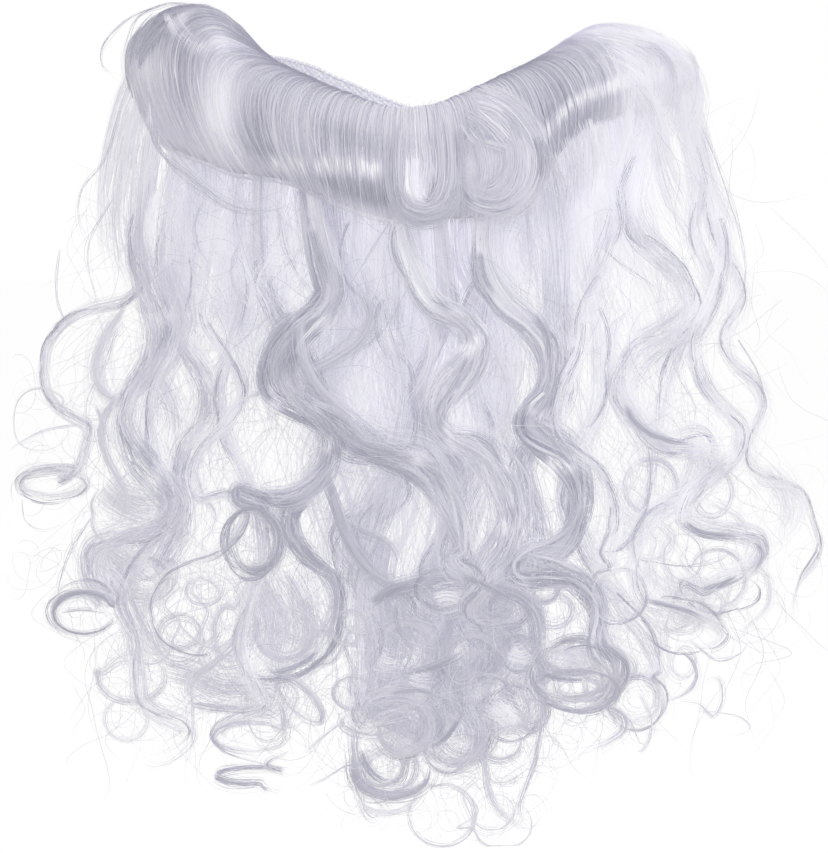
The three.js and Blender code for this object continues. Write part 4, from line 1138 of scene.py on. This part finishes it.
# the two curls on the roll; their thin dark and pale rows are painted shade and painted highlights
ROLL_CURLS = {
    "curl_centre": [
        (3.0, 1.6, 40, 43, 70, 0.22, ["400,112 396,140 394,168 396,194 406,212 424,219 443,212 455,196 460,176 460,150"]),
        (2.4, 1.4, 41, 43, 50, 0.36, ["404,116 400,140 399,168 402,192 412,205 428,208 442,200 450,184 452,160"]),
        (4.2, 1.6, 40, 42, 70, 0.38, ["444,112 447,135 449,160 448,184 440,204 426,214"]),
        (0.8, 0.6, 43, 44, 14, 0.92, ["408,150 407,172 409,192 416,203"]),
        (3.4, 1.2, 40, 41.5, 60, 0.84, ["414,146 417,162 416,180 419,198 430,206"]),
        (2.4, 1.0, 41, 42, 26, 0.5, ["424,140 427,160 425,182 421,200"]),
    ],
    "curl_right": [
        (4.6, 1.6, 40, 44, 110, 0.46, ["470,92 496,100 516,114 530,134 536,156 534,178 524,196 508,207 490,210 472,204 460,192"]),
        (0.9, 0.6, 43, 44.5, 16, 0.08, ["470,204 488,211 506,209 522,199"]),
        (0.9, 0.6, 43, 44.5, 14, 0.10, ["476,198 490,203 506,200 518,188"]),
        (0.9, 0.6, 41, 43, 22, 0.05, ["400,160 398,178 398,196 404,210"]),
        (3.4, 1.4, 42, 44, 60, 0.56, ["474,104 494,110 510,124 522,142 526,162 522,182 510,197 494,203 478,200"]),
        (2.0, 1.0, 43, 44, 20, 0.24, ["500,112 512,122 518,134 520,146"]),
        (2.6, 1.0, 43, 44, 40, 0.0, ["535,134 543,150 544,170 537,190"]),
        (2.4, 1.0, 43, 45, 26, 0.28, ["466,112 478,122 486,132 492,142"]),
        (2.2, 0.6, 44, 46, 14, 0.6, ["474,112 486,122 497,132 506,142 516,148"]),
        (1.5, 0.6, 44, 46, 9, 0.5, ["482,140 496,144 506,147 513,151"]),
        (2.0, 0.6, 44, 46, 7, 0.34, ["462,122 468,132 474,140 484,144"]),
        (5.0, 1.2, 42, 44, 90, 0.42, ["482,112 498,126 508,144 510,164 504,182 492,192 480,190"]),
        (4.0, 1.2, 42, 43, 60, 0.38, ["474,128 482,146 486,166 484,186 478,198"]),
        (1.2, 0.8, 42, 43, 16, 0.14, ["458,126 462,142 464,156 464,172"]),
    ],
}
for name, parts in ROLL_CURLS.items():
    groom = Groom()
    if name == "curl_right":
        dome(groom, 492, 166, 34, 42, 39.2, 3.5, 0.30, 0.44)
    else:
        dome(groom, 417, 184, 12, 26, 38.2, 2.0, 0.5, 0.9)
    for width, thick, out0, out1, count, tone, items in parts:
        dense = path(items, out0, out1)
        strands_on(groom, dense, round(count * 0.45), width, thick * 0.8, tone, 0.24, loose=0.3, root=0.1, start=0.35,
                   ends=(0.6, 1))
        strands_on(groom, dense, round(count * 1.2), width * 1.3, thick, tone + 0.03, 0.09, loose=0.5, root=0.1,
                   start=0.4, ends=(0.5, 1))
    groom.piece("strands_" + name, SILK, node=name, slot="roll_hair")

# ------------------------------------------------------------------ curls, curtain, strays
groups = {"left": Groom(), "centre": Groom(), "right": Groom()}
for side_name, width, thick, out0, out1, count, tone, items in CURLS:
    groom = groups[side_name]
    dense = path(items, out0, out1)
    if count > 32 and width < 5:
        tube(groom, dense, width * 0.5, thick * 0.45, tone, ((0, 0.25, 0.7, 0.93), (0.05, 1, 0.8, 0.05)), sides=8,
             stop=0.93)
    strands_on(groom, dense, round(count * (0.25 if count > 18 else 0.2)), width * 0.8, thick, tone, 0.17, loose=0.16,
               ends=(0.85, 1), turn=20, root=0.2, start=0.12)
    strands_on(groom, dense, round(count * 1.25), width * 1.3, thick * 1.3, tone + 0.04, 0.07,
               loose=0.55 if width < 5 else 2.2, ends=(0.7, 1), turn=20, root=0.3, start=0.25, spread=0.12)


def clump(groom, px, py, r, out, tone, count):
    """An end curl whose feed comes down from inside the beard."""
    way = rng.choice([-1, 1])
    rise = rng.uniform(50, 110)
    sway = rng.uniform(8, 18) * way
    flat = rng.uniform(0.35, 1.0)
    rx, ry = (r, r * flat) if rng.uniform() < 0.65 else (r * flat, r)
    a0 = 0 if way > 0 else 180
    x0 = px + rx * way
    items = [
        f"{x0 + sway * 0.6},{py - rise} {x0 - sway * 0.5},{py - rise * 0.66} {x0 + sway * 0.5},{py - rise * 0.33}",
        (px, py, rx, ry, a0, -way * rng.uniform(320, 620), rng.uniform(0.6, 0.95), rng.normal(0, 18)),
    ]
    dense = path(items, out * 0.7, out)
    w = rng.uniform(1.0, 2.6)
    strands_on(groom, dense, round(count * 0.15), w, w * 0.8, tone, 0.17, loose=0.2, ends=(0.8, 1), start=0.4)
    strands_on(groom, dense, round(count * 0.9), w * 1.6, w * 1.3, tone + 0.04, 0.07, loose=0.8, ends=(0.6, 1), start=0.5,
               spread=0.14)


def scatter(side_name, boxes, tone, count, radius, out):
    for x0, y0, x1, y1, number in boxes:
        for _ in range(number):
            clump(groups[side_name], rng.uniform(x0, x1), rng.uniform(y0, y1), rng.uniform(*radius),
                  rng.uniform(*out), tone + rng.normal(0, 0.1), count)


scatter("centre", [(370, 570, 570, 640, 8), (360, 640, 610, 700, 10), (360, 700, 540, 770, 9)], 0.46, 22, (14, 32), (16, 36))
scatter("left", [(120, 560, 230, 640, 4), (200, 590, 330, 720, 8), (110, 640, 200, 700, 3)], 0.62, 16, (12, 28), (14, 34))
scatter("right", [(620, 500, 740, 620, 6), (620, 600, 720, 680, 3), (560, 560, 640, 700, 1)], 0.72, 13, (12, 28), (12, 30))
scatter("centre", [(370, 770, 520, 815, 4)], 0.6, 8, (14, 26), (24, 40))

# the thick of the end curls, behind them
for width, thick, out0, out1, tone, items in [
    (9, 4, 10, 16, 0.66, ["380,540 374,590 390,640 382,690 400,742"]),
    (9, 4, 10, 16, 0.7, ["440,560 450,600 434,650 446,700 438,752"]),
    (9, 4, 10, 16, 0.66, ["500,560 492,600 504,650 486,690 490,730"]),
]:
    dense = path(items, out0, out1)
    tube(groups["centre"], dense, width * 0.6, thick * 0.6, tone, ((0, 0.2, 0.6, 0.97), (0.4, 1, 0.6, 0.02)), rows=14,
         sides=14)
    strands_on(groups["centre"], dense, 34, width * 1.2, thick * 1.1, tone, 0.2, loose=1.6, ends=(0.6, 1), spread=0.2)
    strands_on(groups["centre"], dense, 90, width * 1.5, thick * 1.3, tone + 0.05, 0.09, loose=3.4, ends=(0.6, 1),
               spread=0.24)

for side_name, width, out0, out1, count, tone, items in CURTAIN:
    dense = path(items, out0, out1)
    groom = groups[side_name]
    strands_on(groom, dense, round(count * 0.35), width, 1.8, tone, 0.2, loose=0.6, ends=(0.5, 1), spread=0.12, root=0.2,
               start=0.1)
    strands_on(groom, dense, round(count * 1.2), width * 1.5, 2.6, tone + 0.02, 0.08, loose=1.5, ends=(0.45, 1),
               spread=0.2, root=0.2, start=0.2, turn=26)

def tangle(groom, box, count, tone, outs, lengths, turns, n=24):
    """Fine loose hairs in a region seen from the front, each curling its own way."""
    x0, y0, x1, y1 = box
    t = np.linspace(0, 1, n)[None]
    size = rng.uniform(*lengths, (count, 1))
    way = rng.choice([-1.0, 1.0], (count, 1))
    total = np.radians(rng.uniform(*turns, (count, 1))) * way
    wave = rng.uniform(0.1, 0.6, (count, 1)) * np.sin(2 * math.pi * (rng.uniform(0.7, 1.8, (count, 1)) * t
                                                                    + rng.uniform(0, 1, (count, 1))))
    heading = np.radians(rng.normal(90, 60, (count, 1))) - total / 2 + total * t + wave
    px = np.cumsum(np.cos(heading) * size / n, 1)
    py = np.cumsum(np.sin(heading) * size / n, 1)
    px = px - px.mean(1, keepdims=True) + rng.uniform(x0, x1, (count, 1))
    py = py - py.mean(1, keepdims=True) + rng.uniform(y0, y1, (count, 1))
    out = rng.uniform(*outs, (count, 1)) + size * 0.05 * np.sin(heading + rng.uniform(0, 6.28, (count, 1)))
    q = seen(px, py, np.maximum(3.0, out))
    q[..., 2] = np.clip(q[..., 2], -306.0, 40.0)
    p = drape(q)
    face = rng.normal(0, 0.4, (count, 1, 3)) + np.array([0, 1, 0])
    facing = unit(drape(q + 0.4 * unit(face)) - p)
    half = rng.uniform(0.05, 0.085, (count, 1)) * np.interp(t[0], [0, 0.1, 0.8, 1], [0.3, 1, 0.9, 0.2])
    groom.add(p, half, facing, tones(count, tone, 0.26))


# side, region, hairs, tone, out, length, turn
TANGLES = [
    ("left", (110, 540, 340, 740), 340, 0.56, (10, 38), (60, 190), (60, 420)),
    ("left", (90, 210, 250, 540), 130, 0.6, (6, 34), (80, 240), (20, 200)),
    ("left", (230, 380, 330, 620), 60, 0.55, (10, 34), (70, 200), (40, 300)),
    ("left", (20, 380, 120, 640), 50, 0.5, (14, 30), (50, 130), (60, 400)),
    ("left", (150, 160, 330, 310), 150, 0.45, (16, 24), (40, 130), (30, 240)),
    ("centre", (350, 560, 560, 770), 310, 0.45, (34, 50), (50, 160), (60, 420)),
    ("centre", (340, 740, 540, 830), 90, 0.5, (28, 46), (50, 150), (120, 420)),
    ("centre", (330, 220, 560, 540), 140, 0.5, (18, 40), (80, 220), (20, 160)),
    ("right", (560, 600, 660, 740), 70, 0.6, (30, 46), (50, 150), (60, 400)),
    ("right", (580, 420, 760, 650), 80, 0.55, (10, 38), (90, 240), (160, 420)),
    ("right", (560, 150, 740, 420), 64, 0.55, (6, 28), (80, 240), (20, 160)),
    ("right", (740, 440, 815, 640), 34, 0.6, (14, 30), (50, 130), (60, 380)),
]
for side_name, box, count, tone, outs, lengths, turns in TANGLES:
    tangle(groups[side_name], box, count, tone, outs, lengths, turns)

for side_name, groom in groups.items():
    groom.piece("loose_curls_" + side_name, SILK)

groom = Groom()
for out, count, items in STRAYS:
    strands_on(groom, path(items, out, out + 6), count * 2, 1.1, 0.9, 0.12, 0.08, loose=0.9, ends=(0.8, 1), step=6)
for _ in range(260):
    px, py = rng.uniform(120, 740), rng.uniform(200, 700)
    if rng.uniform() < 0.5:
        px = rng.uniform(60, 230) if rng.uniform() < 0.5 else rng.uniform(600, 790)
    length, drift = rng.uniform(60, 150), rng.normal(0, 26)
    bow = rng.normal(0, 24, 2)
    items = [f"{px},{py} {px + drift * 0.3 + bow[0]},{py + length * 0.33} {px + drift * 0.6 + bow[1]},{py + length * 0.66} {px + drift},{py + length}"]
    out = rng.uniform(8, 34)
    strands_on(groom, path(items, out, out + 6), 1, 0.5, 0.5, rng.uniform(0.05, 0.6), 0.075, loose=1.1, ends=(0.8, 1), step=7)
groom.piece("stray_hairs", SILK)

# ------------------------------------------------------------------ the under-layer
for name, (a0, a1, b0, b1, foot, count, bunches, short, long) in UNDER.items():
    groom = Groom()

    def fall(s, t, down, low):
        """x and z of hair that leaves the band at share s, at t of its fall to a share of the way to low."""
        top = station(a0 + (a1 - a0) * s, TIP) + 14
        z = top + (low - top) * t * down
        spread = ease((top - z) / (top - foot) * 1.1)
        x = a0 + (a1 - a0) * s + ((b0 + (b1 - b0) * s) - (a0 + (a1 - a0) * s)) * spread
        return x, z

    for k in range(bunches):
        s = (k + rng.uniform(0.2, 0.8)) / bunches
        t = np.linspace(0, 1, 60)
        x, z = fall(s, t, 1.0, rng.uniform(long, short))
        wave = rng.uniform(60, 90)
        phase = rng.uniform(0, 6.28)
        x = x + 5.0 * np.sin((z[0] - z) * 2 * math.pi / wave + phase) * ease(t * 1.5)
        out = rng.uniform(3.4, 8.5) + 1.2 * np.sin(t * 5 + phase)
        dense = np.stack([x, out, z], -1)
        w = rng.uniform(4.5, 7.5)
        tone = rng.uniform(0.3, 0.8)
        tube(groom, dense, w * 0.5, 0.8, tone, ((0, 0.1, 0.5, 0.9), (1, 1, 0.6, 0.03)), rows=14, sides=12)
        strands_on(groom, dense, 14, w * 1.1, 1.3, tone - 0.08, 0.2, loose=0.9, ends=(0.6, 1), spread=0.24, step=12,
                   turn=26)
        strands_on(groom, dense, 30, w * 1.5, 2.0, tone - 0.05, 0.085, loose=2.0, ends=(0.5, 1), spread=0.32, step=12,
                   turn=26)
    n = 34
    t = np.linspace(0, 1, n)[None]
    s = rng.uniform(0, 1, count)[:, None]
    x, z = fall(s, t, rng.uniform(0.45, 1.04, (count, 1)), foot)
    out = 3 + rng.uniform(0, 1, (count, 1)) * (3 + 9 * t)
    q = np.stack([x, out + 0 * x, z], -1)
    run = z[:, :1] - z
    grow = ease(t * 1.6)[..., None]
    q = q + wobble(count, run, 3.2, 62.0) * grow * np.array([1, 0.5, 0.4])
    q[..., 1] = np.maximum(q[..., 1], 2.4)
    p = drape(q)
    face = rng.normal(0, 0.5, (count, 1, 3)) + np.array([0, 1, 0])
    facing = unit(drape(q + 0.4 * unit(face)) - p)
    half = np.where(rng.uniform(0, 1, (count, 1)) < 0.15, 0.16, 0.07)
    half = half * np.interp(t[0], [0, 0.1, 0.7, 1], [0.8, 1, 0.9, 0.25])
    groom.add(p, half * rng.uniform(0.7, 1.3, (count, 1)), facing, tones(count, 0.4, 0.25))
    groom.piece("strands_" + name, FUZZ, node=name, slot="under_hair")


# ------------------------------------------------------------------ the band
def knit_material():
    """Fine openwork knit: pale yarn with small bright eyelets, from the cloth's own flat place."""
    m = bpy.data.materials.new("knit_net")
    m.use_nodes = True
    nodes, links = m.node_tree.nodes, m.node_tree.links
    bsdf = nodes["Principled BSDF"]
    uv = nodes.new("ShaderNodeUVMap")
    uv.uv_map = "OFBake"
    turned = nodes.new("ShaderNodeMapping")
    turned.inputs["Rotation"].default_value = (0, 0, math.radians(45))
    turned.inputs["Scale"].default_value = (170.0, 170.0, 1.0)
    links.new(uv.outputs["UV"], turned.inputs["Vector"])
    loops = nodes.new("ShaderNodeTexVoronoi")
    loops.voronoi_dimensions = "2D"
    loops.inputs["Scale"].default_value = 1.0
    loops.inputs["Randomness"].default_value = 0.3
    links.new(turned.outputs["Vector"], loops.inputs["Vector"])
    fibre = nodes.new("ShaderNodeTexNoise")
    fibre.noise_dimensions = "2D"
    fibre.inputs["Scale"].default_value = 5.0
    links.new(turned.outputs["Vector"], fibre.inputs["Vector"])
    both = nodes.new("ShaderNodeMath")
    both.operation = "MULTIPLY_ADD"
    both.inputs[1].default_value = 0.35
    links.new(fibre.outputs["Fac"], both.inputs[0])
    links.new(loops.outputs["Distance"], both.inputs[2])
    ramp = nodes.new("ShaderNodeValToRGB")
    ramp.color_ramp.elements[0].position = 0.34
    ramp.color_ramp.elements[0].color = (0.97, 0.97, 0.98, 1)
    ramp.color_ramp.elements[1].position = 0.5
    ramp.color_ramp.elements[1].color = (0.76, 0.75, 0.83, 1)
    links.new(both.outputs[0], ramp.inputs["Fac"])
    links.new(ramp.outputs["Color"], bsdf.inputs["Base Color"])
    # painted light: a faint emission that lifts the yarn
    bsdf.inputs["Emission Color"].default_value = (0.96, 0.96, 1.0, 1)
    bsdf.inputs["Emission Strength"].default_value = 0.08
    rough = nodes.new("ShaderNodeMapRange")
    rough.inputs["To Min"].default_value = 0.75
    rough.inputs["To Max"].default_value = 0.95
    links.new(loops.outputs["Distance"], rough.inputs["Value"])
    links.new(rough.outputs[0], bsdf.inputs["Roughness"])
    return m


def band_x(s):
    """x at a length s along the band from its middle."""
    return JAW_HALF * np.sin(np.clip(s / 102.0, -1.4, 1.4))


BAND_REACH = 102.0 * math.asin(BAND_HALF / JAW_HALF) - 0.6


def net_piece():
    """The knitted band: a thin closed cloth with capped ends, and its height and area; yarns() makes its yarns and
    bound edge.
    """
    groom = Groom()
    nu, nv = 110, 14
    s = np.linspace(-BAND_REACH, BAND_REACH, nu)[:, None]
    h = np.linspace(0, 1, nv)[None]
    x = band_x(s) + 0 * h
    top, low = station(x, NET_TOP) - 0.5, station(x, NET_FOOT) + 0.5
    z = top + (low - top) * h
    front, back = from_band(x, 1.1 + 0 * x, z), from_band(x, 0.45 + 0 * x, z)
    loop = np.concatenate([front, back[:, ::-1], front[:, :1]], 1)
    us = 0.5 + s / 300 + 0 * h
    vs = 0.1 + (top - z) / 300 + 0 * us
    groom.sheet(loop, np.concatenate([us, us[:, ::-1], us[:, :1]], 1), np.concatenate([vs, vs[:, ::-1], vs[:, :1]], 1))
    for end in (0, -1):
        cap = np.stack([front[end], back[end]], 0)
        groom.sheet(cap, np.stack([us[end], us[end]]), np.stack([vs[end], vs[end]]))
    tall = float((top[:, 0] - low[:, 0]).max())
    steps = np.diff(s[:, 0])
    mean = (top[:, 0] - low[:, 0])[:-1] * 0.5 + (top[:, 0] - low[:, 0])[1:] * 0.5
    area = float((steps * mean).sum())
    return groom, tall, area


def yarns():
    """Diagonal yarns that lie on both faces of the band, and its bound edge."""
    groom = Groom()
    n = 22
    for way in (1, -1):
        for s0 in np.arange(-BAND_REACH - 80, BAND_REACH + 80, 2.6):
            t = np.linspace(0, 92, 60)
            s = s0 + way * t
            x = band_x(s)
            top = station(np.clip(x, -BAND_HALF, BAND_HALF), NET_TOP) - 0.6
            low = station(np.clip(x, -BAND_HALF, BAND_HALF), NET_FOOT) + 0.6
            z = 50 - t
            keep = (np.abs(s) < BAND_REACH - 0.4) & (z < top) & (z > low)
            if keep.sum() < 3:
                continue
            t0, t1 = t[keep][0], t[keep][-1]
            m = max(4, int((t1 - t0) / 5))
            t = np.linspace(t0, t1, m)
            s, z = s0 + way * t, 50 - t
            x = band_x(s)
            for out, face in ((1.25 + 0.1 * way, 1), (0.3 - 0.1 * way, -1)):
                p = from_band(x, out + 0 * x, z)
                normal = unit(from_band(x, out + 1 + 0 * x, z) - p) * face
                u = 0.5 + s / 300
                v = 0.1 + (48 - z) / 300
                side = unit(np.cross(unit(np.gradient(p, axis=0)), normal)) * 0.3
                grid = np.stack([p - side, p + normal * 0.18, p + side], 1)
                groom.sheet(grid, u[:, None] + 0 * grid[..., 0], v[:, None] + 0 * grid[..., 0])
    phi = np.linspace(0, 2 * math.pi, 9)[None]
    for column, shift in ((NET_TOP, -0.4), (NET_FOOT, 0.4)):
        s = np.linspace(-BAND_REACH, BAND_REACH, 120)[:, None]
        x = band_x(s)
        z = station(x, column) + shift + 0.75 * np.sin(phi)
        grid = from_band(x + 0 * phi, 0.85 + 0.7 * np.cos(phi) + 0 * x, z)
        groom.sheet(grid, 0.5 + s / 300 + 0 * phi, 0.3 + 0.005 * phi / 6.28 + 0 * s)
    for end in (-1, 1):
        x = band_x(np.array([[end * BAND_REACH]]))
        t = np.linspace(0, 1, 24)[:, None]
        top, low = float(station(x, NET_TOP)[0, 0]) - 0.4, float(station(x, NET_FOOT)[0, 0]) + 0.4
        z = top + (low - top) * t + 0 * phi
        grid = from_band(x - end * 0.4 + 0.5 * np.sin(phi) + 0 * t, 0.85 + 0.7 * np.cos(phi) + 0 * t, z)
        groom.sheet(grid, 0.2 + 0.005 * phi / 6.28 + 0 * t, 0.1 + (low - z) * 0 + t * 0.1)
    return groom


KNIT = knit_material()
groom, net_tall, net_area = net_piece()
net = groom.piece("knit_band", KNIT, node="base_net", slot="net", weld=True)
yarn = yarns().piece("knit_yarns", KNIT, slot="net")


# ------------------------------------------------------------------ stage and light
def floor_piece():
    me = bpy.data.meshes.new("floor")
    me.from_pydata([(-30, -30, 0), (30, -30, 0), (30, 30, 0), (-30, 30, 0)], [], [(0, 1, 2, 3)])
    ob = bpy.data.objects.new("floor", me)
    bpy.context.scene.collection.objects.link(ob)
    ob.location = (0, 0, -0.42)
    m = bpy.data.materials.new("pale_floor")
    m.use_nodes = True
    b = m.node_tree.nodes["Principled BSDF"]
    b.inputs["Base Color"].default_value = (0.9, 0.9, 0.9, 1)
    b.inputs["Roughness"].default_value = 0.9
    b.inputs["Specular IOR Level"].default_value = 0.0
    b.inputs["Emission Color"].default_value = (1, 1, 1, 1)
    b.inputs["Emission Strength"].default_value = 0.31
    me.materials.append(m)
    ob.visible_diffuse = False
    ob.visible_glossy = False
    return ob


floor_piece()


def area(name, place, size, power, aim=(0, 0, -0.13), colour=(1, 1, 1)):
    data = bpy.data.lights.new(name, "AREA")
    data.shape = "RECTANGLE"
    data.size, data.size_y = size
    data.energy = power
    data.color = colour
    ob = bpy.data.objects.new(name, data)
    bpy.context.scene.collection.objects.link(ob)
    ob.location = place
    ob.rotation_euler = (Vector(aim) - Vector(place)).to_track_quat("-Z", "Y").to_euler()
    ob.visible_camera = False
    return ob


area("front_strip", (0.0, -1.6, 0.12), (1.2, 0.10), 3.2)
area("top_right", (0.9, -0.9, 0.9), (0.6, 0.6), 4)

world = bpy.data.worlds.new("world")
bpy.context.scene.world = world
world.use_nodes = True
nodes, links = world.node_tree.nodes, world.node_tree.links
nodes.clear()
end = nodes.new("ShaderNodeOutputWorld")
white = nodes.new("ShaderNodeBackground")
white.inputs["Color"].default_value = (1, 1, 1, 1)
white.inputs["Strength"].default_value = 1.0
sky = nodes.new("ShaderNodeBackground")
sky.inputs["Color"].default_value = (1, 1, 1, 1)
place = nodes.new("ShaderNodeTexCoord")
parts = nodes.new("ShaderNodeSeparateXYZ")
links.new(place.outputs["Generated"], parts.inputs[0])
rise = nodes.new("ShaderNodeMapRange")
rise.inputs["From Min"].default_value = -1
rise.inputs["From Max"].default_value = 1
rise.inputs["To Min"].default_value = 0.62
rise.inputs["To Max"].default_value = 0.78
links.new(parts.outputs["Z"], rise.inputs["Value"])
links.new(rise.outputs[0], sky.inputs["Strength"])
seen_by = nodes.new("ShaderNodeLightPath")
either = nodes.new("ShaderNodeMixShader")
links.new(seen_by.outputs["Is Camera Ray"], either.inputs[0])
links.new(sky.outputs[0], either.inputs[1])
links.new(white.outputs[0], either.inputs[2])
links.new(either.outputs[0], end.inputs["Surface"])

scene = bpy.context.scene
scene.view_settings.view_transform = "Standard"
scene.view_settings.look = "None"
scene.view_settings.exposure = 0.0
scene.view_settings.gamma = 1.0
scene.cycles.max_bounces = 16
scene.cycles.diffuse_bounces = 12
scene.cycles.glossy_bounces = 4
